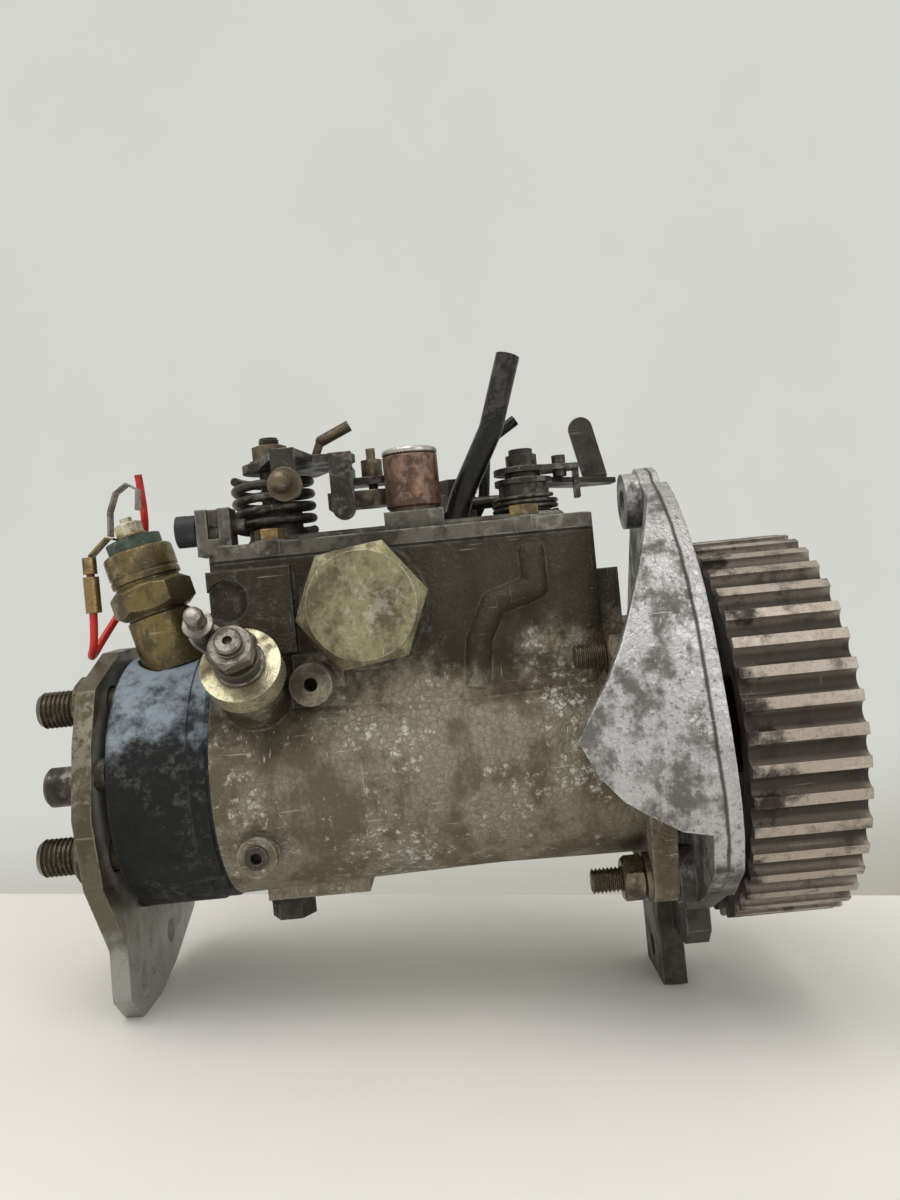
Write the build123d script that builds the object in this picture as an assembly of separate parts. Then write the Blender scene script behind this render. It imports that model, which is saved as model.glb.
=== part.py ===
from build123d import *
import os
from math import cos, hypot, pi, radians, sin

# Rotary diesel injection pump, millimetres.
# Origin: shaft axis, in the plane where the pump flange meets the front bracket.
# +X runs along the shaft to the belt pulley, +Y to the side away from the advance plug, +Z up.

# ---- fits ----------------------------------------------------------------------------------
RUN_FIT = 0.05            # radial clearance of a running fit
CLEAR = 0.3               # gap between pieces that pass each other
COIL_SIDES = 6            # a spring's wire is drawn six-sided
HOLE_CLEAR = 0.25         # radial clearance of a bolt in its hole

# ---- belt pulley ---------------------------------------------------------------------------
TEETH = 42
BELT_PITCH = 9.525
TIP_BELOW_PITCH_LINE = 0.686
GROOVE_R = 3.05
GROOVE_DEPTH = 3.6
TOOTH_PHASE = 0.26        # degrees from +Y to the first groove
PULLEY_FRONT = 51.6
PULLEY_W = 33.7
RIM_T = 6.0
WEB_T = 8.0
HUB_R = 17.0
HUB_LEN = 19.0
WEB_HOLES = 3
WEB_HOLE_R = 8.0

# ---- drive shaft ---------------------------------------------------------------------------
SHAFT_R = 10.0
TAPER_END_R = 8.2
SHAFT_THREAD_R = 7.0
SHAFT_REAR = -74.0
TONGUE_T = 7.0
TONGUE_LEN = 11.0
NUT_AF = 22.0
NUT_T = 9.0
NUT_WASHER_R = 13.0
NUT_WASHER_T = 2.5
KEY_R = 6.0
KEY_T = 5.0
KEY_PROUD = 2.2

# ---- governor ------------------------------------------------------------------------------
CAGE_X = -40.4            # rear face of the cage's plate
CAGE_R = 32.0
CAGE_DEPTH = 20.0
CAGE_HUB_R = 14.0
WEIGHTS = 4
WEIGHT_HALF_W = 8.0
WEIGHT_FRONT_X = -46.0
WEIGHT_PIVOT_X = -50.0      # right over the toe's contact, near the weight's centre of mass
WEIGHT_PIVOT_R = 20.0
WEIGHT_PIN_R = 1.2
TOE_REACH = 8.5           # how far the toe's end lies below its pivot
SLEEVE_FRONT = -50.3
SLEEVE_REAR = -67.6
SLEEVE_R = 14.0
SLEEVE_FLANGE_R = 17.0
NUB_R = 1.2
ARM_T = 2.6
ARM_PIVOT_Z = 30.0
ARM_PIN_R = 2.0
FORK_IN = 11.2
FORK_OUT = 13.0
LINK_R = 0.9

# ---- metering valve ------------------------------------------------------------------------
METERING_X = -112.0
METERING_LINK_WALL = 3.0   # from the link's wire to the chamber's far wall
METERING_R = 3.0
METERING_FOOT = 16.0
METERING_TOP = 64.0
METERING_ARM_Z = 60.5
METERING_REACH = 10.0     # from the valve's axis to the link's hook
METERING_LINK_Z = 63.5

# ---- housing -------------------------------------------------------------------------------
FLANGE_T = 8.0
FLANGE_CORE_R = 40.5
EAR_R = 8.0
STUD_CIRCLE = 50.0
STUD_ANGLES = (142.5, 236.0, 10.0)
STUD_R = 4.0
STUD_REAR = 18.5          # how far a stud stands behind the flange
STUD_NUT_AF = 13.0
STUD_NUT_T = 7.0
STUD_WASHER_T = 1.8
STUD_WASHER_R = 7.6
JOINT_X = -140.4          # joint between housing and hydraulic head
BARREL_R_FRONT = 39.4
BARREL_R_REAR = 40.8
CAVITY_R = 33.7
CAVITY_FRONT = -37.0
PILOT_R = 25.0
PILOT_LEN = 6.0
BUSH_R = 13.0
BUSH_LEN = 24.0
SEAL_R = 17.5
SEAL_T = 6.0
GASKET_Z = 69.5
GASKET_T = 0.8
BOX_REAR = -137.4
BOX_FRONT = -15.0
BOX_HALF_W = 33.0
BOX_WALL = 6.0
BOX_CORNER_R = 7.0
CHAMBER_REAR = -101.5     # rear end of the deep part of the governor chamber
SHALLOW_Z = 46.0          # floor of the shallow parts of the chamber

# ---- governor cover ------------------------------------------------------------------------
COVER_FLANGE_T = 4.6
DOME_TOP = 77.5
DOME_WALL = 3.0
DOME_HALF_W = 22.0
DOME_REAR = -127.0
DOME_FRONT = -22.0
THROTTLE_BOSS_TOP = 86.0
IDLE_BOSS_TOP = 78.0
VENT = (-56.8, 12.0)
VENT_AF = 13.0
VENT_BOSS_TOP = 88.5
CAP_FOOT = 81.0
STOP_LUG_X = (-139.4, -128.6)
STOP_LUG_Y = -27.0
STOP_LUG_TOP = 87.0
STOP_SCREW_Z = 81.0
IDLE_SCREW_Z = 84.6
COVER_SCREW_R = 3.0
COVER_SCREW_EDGE = 5.5    # from a cover screw's axis to the box's side
COVER_SCREW_Y = BOX_HALF_W - COVER_SCREW_EDGE
COVER_SCREWS = tuple((x, y) for y in (-COVER_SCREW_Y, COVER_SCREW_Y) for x in (-116.9, -36.3))

# ---- advance device ------------------------------------------------------------------------
ADV_X = -89.0
ADV_Z = 52.4
ADV_BORE_R = 11.0
ADV_TUBE_WALL = 3.0
ADV_BLIND_Y = 8.0
ADV_BOSS_OUT = 2.4        # how far the boss stands outside the box's near side
ADV_FACE_Y = -BOX_HALF_W - ADV_BOSS_OUT
ADV_BOSS_R = 20.0
PLUG_AF = 36.0
PLUG_HEAD_T = 7.0
PLUG_WASHER_T = 1.6
PLUG_SPIGOT = 4.0
CAM_W = 16.0
CAM_BASE_R = 25.2
CAM_LIFT = 2.0
CAM_LOBES = 4
PIN_NECK_R = 3.0
PIN_BALL_R = 4.0
PIN_BALL_AT = 46.0        # pin ball centre above the shaft axis
PIN_SWING = 5.2           # room for the pin to swing in the tube
PISTON_NEAR_Y = -20.0
PISTON_FAR_Y = 7.6
PISTON_RECESS_R = 8.0
PISTON_RECESS = 9.0

# ---- hydraulic head, rotor, transfer pump --------------------------------------------------
HEAD_R = 42.0
HEAD_RING_R = 41.4
HEAD_RING_LEN = 6.5
HEAD_REAR = -172.1
HEAD_FRONT = -105.0
ROTOR_R = 9.5
ROTOR_HEAD_R = 19.0
ROTOR_HEAD_LEN = 18.0
PLUNGER_R = 3.5
ROLLER_R = 3.4
SHOE_FOOT = 11.5          # radius at the underside of a roller shoe
SHOE_HALF_L = 7.0
SHOE_HALF_W = 4.2
LINER_R = 19.0
LINER_BORE_R = 13.0
LINER_OFFSET = 1.2
LINER_LEN = 12.0
VANE_HUB_R = 11.0
VANE_T = 2.0
SEAL_RING_X = -134.0
SEAL_RING_R = 1.3
OUTLET_CIRCLE = 33.0
OUTLET_ANGLES = (122.0, 213.0, 303.0, 33.0)
OUTLET_R = 6.0
OUTLET_TIP = -199.0
OUTLET_AF = 17.0
OUTLET_HEX_T = 5.0
OUTLET_DEPTH = 18.0
OUTLET_PASSAGE_R = 1.6
HEAD_BOLT_ANGLES = (167.5, 258.0, 348.0, 77.5)
HEAD_BOLT_CIRCLE = 37.3
HEAD_BOLT_R = 2.9
HEAD_BOLT_HEAD_R = 5.0
END_PLUG_AF = 17.0
END_PLUG_HEX_T = 9.0
END_PLUG_NOSE_R = 6.8
END_PLUG_TIP = -206.4

# ---- rear support plate --------------------------------------------------------------------
REAR_PLATE_T = 6.0
REAR_PLATE_X = -175.4     # face towards the head
REAR_FOOT_Z = -75.0
REAR_HOLE = (18.8, -58.5)
REAR_HOLE_R = 4.0
REAR_SLOT_TOP = (-12.0, -61.5)
REAR_SLOT_END = (-13.4, -67.5)
REAR_SLOT_R = 3.0

# ---- front bracket -------------------------------------------------------------------------
BRACKET_T = 11.5
BRACKET_PAD = 5.0         # depth of the pads and hub behind the plate
BRACKET_HUB_R = 31.0
BRACKET_RIM_FRONT = 13.6
BRACKET_WEB_T = 3.6
BRACKET_FOOT_Z = -92.2
BRACKET_FOOT_T = 8.5
BRACKET_FOOT_Y = (11.0, 40.0)
BRACKET_HOLE_R = 4.25
TOP_HOLE = (2.0, 79.5)
FOOT_HOLE = (27.0, -83.0)
SIDE_HOLE = (62.0, -4.0)

# ---- throttle ------------------------------------------------------------------------------
THROTTLE_X = -117.9
THROTTLE_Y = -10.0
LEVER_SHAFT_R = 4.0
BALL_X = -108.6
BALL_Z = 91.0
BALL_TAB_R = 5.0
THROTTLE_PLATE_Z = 99.5
THROTTLE_PLATE_T = 2.6
THROTTLE_STUD_TOP = 111.0
COIL_R = 12.6
COIL_WIRE_R = 1.5
COIL_TURNS = 4.5
COIL_Z = (79.3, 97.7)     # centre of the wire at its two ends
INNER_REACH = 24.0
INNER_LEAN = 20.0         # degrees the inner lever leans forward at idle
INNER_Z = 66.4
LINK_Z = 70.0             # height of the governor link inside the cover

# ---- idle lever ----------------------------------------------------------------------------
IDLE_X = -34.2
IDLE_Y = -8.0
IDLE_PLATE_Z = 87.5
IDLE_TOP_PLATE_Z = 91.2
IDLE_PLATE_T = 1.8
IDLE_TOP = 99.4
IDLE_COIL_R = 10.6
IDLE_WIRE_R = 0.7

# ---- side lever: its axis leans up from -Y -------------------------------------------------
SIDE_LEAN = 30.0
SIDE_FACE = (-125.1, -52.0, 38.5)
SIDE_CAP_R = 12.0
SIDE_CAP_T = 8.0
SIDE_SHAFT_R = 4.0
SIDE_BOSS_R = 10.8
SIDE_PIN = (-9.0, 7.0)    # in the plane square to the axis
SIDE_PIN_TURN = 142.1

# ---- shut-off solenoid: its axis leans back from +Z ----------------------------------------
SOLENOID_BASE = (-156.1, -8.0, 38.0)
SOLENOID_LEAN = 14.0
SOLENOID_R = 11.6
SOLENOID_AF = 24.0
SOLENOID_BOSS_R = 10.6
SOLENOID_NOSE_R = 5.0
SOLENOID_HEX = (19.4, 29.5)      # distances along the axis from its base
SOLENOID_TOP = 41.3
INSULATOR_R = 9.1
INSULATOR_TOP = 45.2
TERMINAL_R = 2.0
TERMINAL_TOP = 52.8

# ---- casting details -----------------------------------------------------------------------
LUG_X = -106.1
LUG_Y = -46.0
LUG_Z = 30.2
LUG_R = 6.5
LUG_HOLE_R = 2.1
BLEED_X = -127.9
BLEED_FACE_Y = -42.0
BLEED_Z = -20.7
BLEED_BOSS_R = 6.2
BLEED_SCREW_R = 3.6
PAD_X = (-132.0, -98.0)
PAD_Z = -42.5
BLOCK_X = (-136.8, -110.7)
BLOCK_Y = -36.0
RECESS_X = -131.0
RECESS_Z = 57.6
RECESS_R = 6.6
INLET_X = -120.0
INLET_Z = 12.0
INLET_HEX_OUT = 8.0
INLET_SHANK = BARREL_R_REAR - CAVITY_R - 1.1

# ---- small pieces --------------------------------------------------------------------------
CAP_X = -71.1
CAP_Y = -18.0
CAP_R = 9.0
PIPE_R = 4.0
PIPE_BORE_R = 3.0
PIPE_BENDS = ((-59.7, -10.0, 73.5), (-55.0, -10.0, 86.0), (-43.4, -10.0, 107.0), (-35.4, -10.0, 131.0))
VENT_PIPE_R = 2.0
VENT_BENDS = ((-51.0, 14.5, 80.0), (-46.9, 14.5, 87.0), (-44.6, 14.5, 106.5), (-33.2, 14.5, 113.5))
WIRE_R = 1.35
WIRE_Y = -12.0
WIRE_POINTS = (
    (-180.9, -12.0, 76.5), (-180.9, -12.0, 50.5), (-186.0, -7.0, 42.0), (-183.5, 2.0, 50.0),
    (-176.5, 9.0, 62.0), (-168.0, 9.0, 83.0), (-166.4, 6.0, 94.0), (-167.2, 5.0, 105.6))

TIP_R = TEETH * BELT_PITCH / (2 * pi) - TIP_BELOW_PITCH_LINE
PULLEY_REAR = PULLEY_FRONT - PULLEY_W
FLANGE_REAR = -FLANGE_T
TAPER_START = PULLEY_REAR + 3.0
TAPER_END = TAPER_START + HUB_LEN
WEB_FRONT = TAPER_END
ROLLER_AT = CAM_BASE_R - CAM_LIFT - ROLLER_R - CLEAR
ROTOR_HEAD_X = ADV_X - ROTOR_HEAD_LEN / 2
LINER_FRONT = HEAD_REAR + LINER_LEN
ARM_FRONT = SLEEVE_REAR - CLEAR - NUB_R
ARM_MID = ARM_FRONT - ARM_T / 2
LINK_X = THROTTLE_X + INNER_REACH * sin(radians(INNER_LEAN))
LINK_Y = THROTTLE_Y + INNER_REACH * cos(radians(INNER_LEAN))
METERING_LINK_Y = BOX_HALF_W - BOX_WALL - METERING_LINK_WALL
METERING_Y = METERING_LINK_Y - METERING_REACH
UP = (0, 0, 1)
NEAR = (0, -1, 0)
FAR = (0, 1, 0)
DOWN = (0, 0, -1)
FORE = (1, 0, 0)
AFT = (-1, 0, 0)


# ---- shape helpers -------------------------------------------------------------------------
def rod(at, along, length, radius):
    """Cylinder from a point along a direction."""
    return extrude(Plane(origin=at, z_dir=along) * Circle(radius), amount=length)


def tube(at, along, length, outer, inner):
    """Ring or tube from a point along a direction."""
    ring = Circle(outer) - Circle(inner)
    return extrude(Plane(origin=at, z_dir=along) * ring, amount=length)


def hexagon(at, along, length, flats, turn=0.0, bore=0.0):
    """Hexagonal prism across flats, with an optional round hole."""
    outline = Rot(0, 0, turn) * RegularPolygon(flats / 2, 6, major_radius=False)
    if bore:
        outline -= Circle(bore)
    return extrude(Plane(origin=at, z_dir=along) * outline, amount=length)


def block(x0, x1, y0, y1, z0, z1):
    """Box between two corners."""
    return Pos((x0 + x1) / 2, (y0 + y1) / 2, (z0 + z1) / 2) * Box(x1 - x0, y1 - y0, z1 - z0)


def turned(profile):
    """Solid of revolution about the shaft axis from (x, radius) points."""
    face = make_face(Polyline(*[(x, 0, r) for x, r in profile], close=True))
    return revolve(face, axis=Axis.X)


def across(sketch, x0, length):
    """Extrude a (y, z) sketch along +X."""
    return extrude(Plane.YZ.offset(x0) * sketch, amount=length)


def sideways(sketch, y0, length):
    """Extrude an (x, z) sketch along +Y."""
    return extrude(Plane.XZ.offset(-y0) * sketch, amount=-length)


def upward(sketch, z0, length):
    """Extrude an (x, y) sketch along +Z."""
    return extrude(Plane.XY.offset(z0) * sketch, amount=length)


def outline(points, corner=0.0):
    """Closed polygon, its corners rounded."""
    face = make_face(Polyline(*points, close=True))
    return fillet(face.vertices(), corner) if corner else face


def rounded_box(x0, x1, half_w, radius):
    """Rounded rectangle in plan, centred on the shaft axis."""
    return Pos((x0 + x1) / 2, 0) * RectangleRounded(x1 - x0, 2 * half_w, radius)


def polar(radius, angle):
    """(y, z) of a point on a circle about the shaft axis."""
    return radius * cos(radians(angle)), radius * sin(radians(angle))


def coil(centre, radius, wire, pitch, turns):
    """Helical spring standing along +Z."""
    path = Helix(pitch, pitch * turns, radius)
    start = Plane(origin=path @ 0, z_dir=path % 0)
    return Pos(*centre) * sweep(start * RegularPolygon(wire, COIL_SIDES), path=path, is_frenet=True)


def swept(points, corner, section):
    """Section swept along straight runs with rounded corners."""
    path = FilletPolyline(*points, radius=corner)
    return sweep(Plane(origin=path @ 0, z_dir=path % 0) * section, path=path)


def spot(base, along, distance):
    """Point at a distance along a direction."""
    return tuple(b + a * distance for b, a in zip(base, along))


SIDE_AXIS = (0.0, -cos(radians(SIDE_LEAN)), sin(radians(SIDE_LEAN)))
SIDE_INWARD = (0.0, cos(radians(SIDE_LEAN)), -sin(radians(SIDE_LEAN)))
SOLENOID_AXIS = (-sin(radians(SOLENOID_LEAN)), 0.0, cos(radians(SOLENOID_LEAN)))


# ---- drive line ----------------------------------------------------------------------------
def taper_r(x):
    """Shaft radius along the pulley taper."""
    share = (x - TAPER_START) / (TAPER_END - TAPER_START)
    return SHAFT_R + (TAPER_END_R - SHAFT_R) * share


def key_solid(extra=0.0):
    """Half-moon key, or its seat when extra is given."""
    x = (TAPER_START + TAPER_END) / 2
    crest = taper_r(x) + KEY_PROUD
    disc = rod((x, -KEY_T / 2, crest - KEY_PROUD), FAR, KEY_T, KEY_R + extra)
    return disc - block(x - 20, x + 20, -20, 20, crest + extra, crest + 20)


def drive_shaft():
    thread_end = TAPER_END + NUT_WASHER_T + NUT_T + 1.5
    body = turned([
        (SHAFT_REAR, 0), (SHAFT_REAR, SHAFT_R), (TAPER_START, SHAFT_R), (TAPER_END, TAPER_END_R),
        (TAPER_END, SHAFT_THREAD_R), (thread_end - 1, SHAFT_THREAD_R),
        (thread_end, SHAFT_THREAD_R - 1), (thread_end, 0)])
    flat = SHAFT_R - 1.5
    tongue = block(SHAFT_REAR - TONGUE_LEN, SHAFT_REAR, -TONGUE_T / 2, TONGUE_T / 2, -flat, flat)
    return body + tongue - key_solid()


def pulley():
    grooves = PolarLocations(TIP_R - GROOVE_DEPTH + GROOVE_R, TEETH, TOOTH_PHASE) * Circle(GROOVE_R)
    rim_bore = TIP_R - GROOVE_DEPTH - RIM_T
    rim = across(Circle(TIP_R) - grooves - Circle(rim_bore), PULLEY_REAR, PULLEY_W)
    web = across(Circle(rim_bore + 1), WEB_FRONT - WEB_T, WEB_T)
    hub = across(Circle(HUB_R), TAPER_START, HUB_LEN)
    windows = Sketch() + PolarLocations((HUB_R + rim_bore) / 2, WEB_HOLES, 90) * Circle(WEB_HOLE_R)
    bore = turned([(TAPER_START, 0), (TAPER_START, SHAFT_R), (TAPER_END, TAPER_END_R), (TAPER_END, 0)])
    key_top = taper_r((TAPER_START + TAPER_END) / 2) + KEY_PROUD
    keyway = block(TAPER_START, TAPER_END, -KEY_T / 2, KEY_T / 2, 0, key_top)
    return rim + web + hub - across(windows, WEB_FRONT - WEB_T, WEB_T) - bore - keyway


def pulley_nut():
    washer = tube((TAPER_END, 0, 0), FORE, NUT_WASHER_T, NUT_WASHER_R, SHAFT_THREAD_R)
    nut = hexagon((TAPER_END + NUT_WASHER_T, 0, 0), FORE, NUT_T, NUT_AF, bore=SHAFT_THREAD_R)
    return [washer, nut]


# ---- governor ------------------------------------------------------------------------------
def governor_cage():
    plate = across(Circle(CAGE_R) - Circle(SHAFT_R), CAGE_X, 3.0)
    hub = across(Circle(CAGE_HUB_R) - Circle(SHAFT_R), CAGE_X - 5, 5.0)
    walls = across(Circle(CAGE_R) - Circle(SLEEVE_FLANGE_R), CAGE_X - CAGE_DEPTH, CAGE_DEPTH)
    half = WEIGHT_HALF_W + CLEAR
    pocket = block(CAGE_X - CAGE_DEPTH, CAGE_X, -half, half, SLEEVE_FLANGE_R - 5, CAGE_R + 1)
    for step in range(WEIGHTS):
        walls -= Rot(step * 360 / WEIGHTS, 0, 0) * pocket
    pin = rod((WEIGHT_PIVOT_X, -half - 2, WEIGHT_PIVOT_R), FAR, 2 * half + 4, WEIGHT_PIN_R)
    for step in range(WEIGHTS):
        walls += Rot(step * 360 / WEIGHTS, 0, 0) * pin
    return plate + hub + walls


def governor_weight(step):
    """Flyweight with its toe, turned to its pocket."""
    x, r = WEIGHT_FRONT_X, WEIGHT_PIVOT_R
    toe_x = SLEEVE_FRONT + CLEAR
    foot = r - TOE_REACH
    side = [(x, foot), (toe_x, foot), (toe_x, r - 3), (x - 12, r - 3), (x - 12, r + 5.5),
            (x - 10.5, r + 7), (x, r + 7), (x + 2, r + 5), (x + 2, r - 3), (x, r - 3)]
    shape = sideways(outline(side), -WEIGHT_HALF_W, 2 * WEIGHT_HALF_W)
    pin_hole = WEIGHT_PIN_R + RUN_FIT
    shape -= rod((WEIGHT_PIVOT_X, -WEIGHT_HALF_W - 1, r), FAR, 2 * WEIGHT_HALF_W + 2, pin_hole)
    return Rot(step * 360 / WEIGHTS, 0, 0) * shape


def thrust_sleeve():
    body = across(Circle(SLEEVE_R) - Circle(SHAFT_R + RUN_FIT), SLEEVE_REAR, SLEEVE_FRONT - SLEEVE_REAR)
    return body + across(Circle(SLEEVE_FLANGE_R) - Circle(SHAFT_R + RUN_FIT), SLEEVE_REAR, 2.6)


def governor_arm():
    """Forked arm: its nubs rest behind the sleeve, its top carries both links."""
    top = LINK_Z + 2.4
    side = METERING_LINK_Z + 2.6
    fork = outline([(-FORK_OUT, -6), (-FORK_OUT, ARM_PIVOT_Z), (-7, ARM_PIVOT_Z + 8), (8, LINK_Z - 10),
                    (8, top), (17, top), (17, side), (26.4, side), (26.4, side - 7), (FORK_OUT, ARM_PIVOT_Z + 6),
                    (FORK_OUT, -6), (FORK_IN, -6), (FORK_IN, 13), (-FORK_IN, 13), (-FORK_IN, -6)])
    arm = across(fork, ARM_FRONT - ARM_T, ARM_T)
    for y in (-FORK_OUT, FORK_IN):
        arm += rod((ARM_FRONT, y, 0), FAR, FORK_OUT - FORK_IN, NUB_R)
    arm += rod((ARM_MID, -FORK_OUT, ARM_PIVOT_Z), FAR, 2 * FORK_OUT, ARM_PIN_R + 1.4)
    arm -= rod((ARM_MID, -FORK_OUT - 1, ARM_PIVOT_Z), FAR, 2 * FORK_OUT + 2, ARM_PIN_R + RUN_FIT)
    for y, z in ((LINK_Y, LINK_Z), (METERING_LINK_Y, METERING_LINK_Z)):
        arm -= rod((ARM_FRONT + 1, y, z), AFT, ARM_T + 2, LINK_R + CLEAR)
    return arm


def arm_pin():
    half = BOX_HALF_W - 1
    return rod((ARM_MID, -half, ARM_PIVOT_Z), FAR, 2 * half, ARM_PIN_R)


def hooked_rod(hook_at, drop, reach):
    """Wire hooked down at one end, running forward."""
    tail = 1.5 * LINK_R
    return rod(hook_at, DOWN, drop, 0.9 * LINK_R) + rod(spot(hook_at, AFT, tail), FORE, reach + tail, LINK_R)


def headed_end(x0, y, z):
    """Wire end that passes the arm, with its flat head in front of it."""
    tip = ARM_FRONT + CLEAR
    return rod((x0, y, z), FORE, tip - x0 + 0.6, LINK_R) + rod((tip, y, z), FORE, 0.8, LINK_R + 0.9)


def governor_spring():
    """Wire from the throttle's inner lever, its coil, and the end that pulls the arm."""
    pitch, turns, wire, radius = 4.6, 5, 0.5, 2.2
    seat = ARM_FRONT - ARM_T - CLEAR - 0.8 - wire
    start = seat - pitch * turns
    link = hooked_rod((LINK_X, LINK_Y, LINK_Z), LINK_Z - INNER_Z + 1.0, start - 0.8 - LINK_X)
    link += rod((start - wire - 0.8, LINK_Y, LINK_Z), FORE, 0.8, radius + wire)
    end = headed_end(seat + wire, LINK_Y, LINK_Z)
    end += rod((seat + wire, LINK_Y, LINK_Z), FORE, 0.8, radius + wire)
    spring = Pos(start, LINK_Y, LINK_Z) * Rot(0, 90, 0) * coil((0, 0, 0), radius, wire, pitch, turns)
    return [spring, link, end]


def metering_link():
    """Wire from the governor arm to the metering valve's arm."""
    hook = (METERING_X, METERING_LINK_Y, METERING_LINK_Z)
    wire = hooked_rod(hook, METERING_LINK_Z - METERING_ARM_Z + 0.8, ARM_FRONT - METERING_X)
    return wire + headed_end(ARM_FRONT - 1, METERING_LINK_Y, METERING_LINK_Z)


# ---- cam ring and advance piston -----------------------------------------------------------
def cam_ring():
    bore = Circle(CAM_BASE_R)
    lobe_reach = CAM_BASE_R + 30 - CAM_LIFT
    lobes = PolarLocations(lobe_reach, CAM_LOBES, 45) * Circle(30)
    ring = across(Circle(CAVITY_R - RUN_FIT), ADV_X - CAM_W / 2, CAM_W)
    hollow = across(bore - lobes, ADV_X - CAM_W / 2, CAM_W)
    pin = rod((ADV_X, 0, 30), UP, PIN_BALL_AT - 30, PIN_NECK_R)
    pin += Pos(ADV_X, 0, PIN_BALL_AT) * Sphere(PIN_BALL_R)
    return ring - hollow + pin


def advance_piston():
    body = rod((ADV_X, PISTON_NEAR_Y, ADV_Z), FAR, PISTON_FAR_Y - PISTON_NEAR_Y, ADV_BORE_R - RUN_FIT)
    body -= rod((ADV_X, PISTON_NEAR_Y, ADV_Z), FAR, PISTON_RECESS, PISTON_RECESS_R)
    slot_top = PIN_BALL_AT + PIN_BALL_R + CLEAR
    half = PIN_BALL_R + RUN_FIT
    return body - block(ADV_X - half, ADV_X + half, -half, half, ADV_Z - ADV_BORE_R - 1, slot_top)


def advance_spring():
    wire = 0.9
    room = PISTON_NEAR_Y + PISTON_RECESS - ADV_FACE_Y - PLUG_SPIGOT
    turns = 5
    pitch = (room - 2 * wire - 2 * CLEAR) / turns
    spring = coil((0, 0, 0), PISTON_RECESS_R - wire - CLEAR, wire, pitch, turns)
    start = ADV_FACE_Y + PLUG_SPIGOT + wire + CLEAR
    return Pos(ADV_X, start, ADV_Z) * Rot(-90, 0, 0) * spring


def advance_plug():
    head_y = ADV_FACE_Y - PLUG_WASHER_T
    head = hexagon((ADV_X, head_y, ADV_Z), NEAR, PLUG_HEAD_T, PLUG_AF, turn=8.0)
    bevel = rod((ADV_X, head_y, ADV_Z), NEAR, PLUG_HEAD_T, PLUG_AF / 2 / cos(radians(30)))
    bevel = chamfer(bevel.edges().sort_by(Axis.Y)[0], 1.6, 3.0)
    spigot = rod((ADV_X, head_y, ADV_Z), FAR, PLUG_WASHER_T + PLUG_SPIGOT, ADV_BORE_R + 1.5)
    washer = tube((ADV_X, head_y, ADV_Z), FAR, PLUG_WASHER_T, PLUG_AF / 2 - 1, ADV_BORE_R + 1.5)
    return [head & bevel + spigot, washer]


# ---- hydraulic head, rotor and transfer pump -----------------------------------------------
def outlet_way(depth, radius, from_x):
    """Holes at the four outlet places."""
    return [rod((from_x, *polar(OUTLET_CIRCLE, a)), FORE, depth, radius) for a in OUTLET_ANGLES]


def hydraulic_head():
    body = turned([
        (HEAD_REAR, 0), (HEAD_REAR, HEAD_R - 1), (HEAD_REAR + 1, HEAD_R),
        (JOINT_X - HEAD_RING_LEN, HEAD_R), (JOINT_X - HEAD_RING_LEN, HEAD_RING_R),
        (JOINT_X - 1.5, HEAD_RING_R), (JOINT_X, HEAD_RING_R - 1.5),
        (JOINT_X, CAVITY_R - RUN_FIT), (HEAD_FRONT + 2, CAVITY_R - RUN_FIT),
        (HEAD_FRONT, CAVITY_R - 2), (HEAD_FRONT, 0)])
    body -= across(Circle(ROTOR_R + RUN_FIT), HEAD_REAR, HEAD_FRONT - HEAD_REAR)
    body -= across(Circle(LINER_R), HEAD_REAR, LINER_LEN)
    groove = Circle(CAVITY_R) - Circle(CAVITY_R - 2 * SEAL_RING_R - 0.1)
    body -= across(groove, SEAL_RING_X - SEAL_RING_R - 0.2, 2 * SEAL_RING_R + 0.4)
    for hole in outlet_way(OUTLET_DEPTH, OUTLET_R, HEAD_REAR):
        body -= hole
    for angle in HEAD_BOLT_ANGLES:
        at = (HEAD_REAR, *polar(HEAD_BOLT_CIRCLE, angle))
        body -= rod(at, FORE, JOINT_X - HEAD_REAR, HEAD_BOLT_R + HOLE_CLEAR)
    base = spot(SOLENOID_BASE, SOLENOID_AXIS, -6)
    body -= rod(base, SOLENOID_AXIS, 30, SOLENOID_NOSE_R)
    body -= rod(SOLENOID_BASE, SOLENOID_AXIS, 12, SOLENOID_BOSS_R + 1.0)
    metering = rod((METERING_X, METERING_Y, METERING_FOOT - CLEAR), UP, 30, METERING_R + RUN_FIT)
    return body - metering


def metering_valve():
    stem = rod((METERING_X, METERING_Y, METERING_FOOT), UP, METERING_TOP - METERING_FOOT, METERING_R)
    groove = tube((METERING_X, METERING_Y, METERING_FOOT + 4), UP, 3, METERING_R + 1, METERING_R - 0.8)
    arm = Pos(METERING_X, METERING_Y + METERING_REACH / 2) * SlotOverall(METERING_REACH + 4.6, 4.6, 90)
    arm -= Pos(METERING_X, METERING_LINK_Y) * Circle(LINK_R + 0.4)
    return stem - groove + upward(arm, METERING_ARM_Z, 1.8)


def head_seal():
    return Pos(SEAL_RING_X, 0, 0) * Rot(0, 90, 0) * Torus(CAVITY_R - SEAL_RING_R - 0.05, SEAL_RING_R)


def head_bolts():
    solids = []
    for angle in HEAD_BOLT_ANGLES:
        y, z = polar(HEAD_BOLT_CIRCLE, angle)
        head = rod((HEAD_REAR, y, z), AFT, HEAD_REAR - REAR_PLATE_X, HEAD_BOLT_HEAD_R)
        shank = rod((HEAD_REAR, y, z), FORE, JOINT_X - HEAD_REAR + 12, HEAD_BOLT_R)
        solids.append(head + shank)
    return solids


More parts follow.
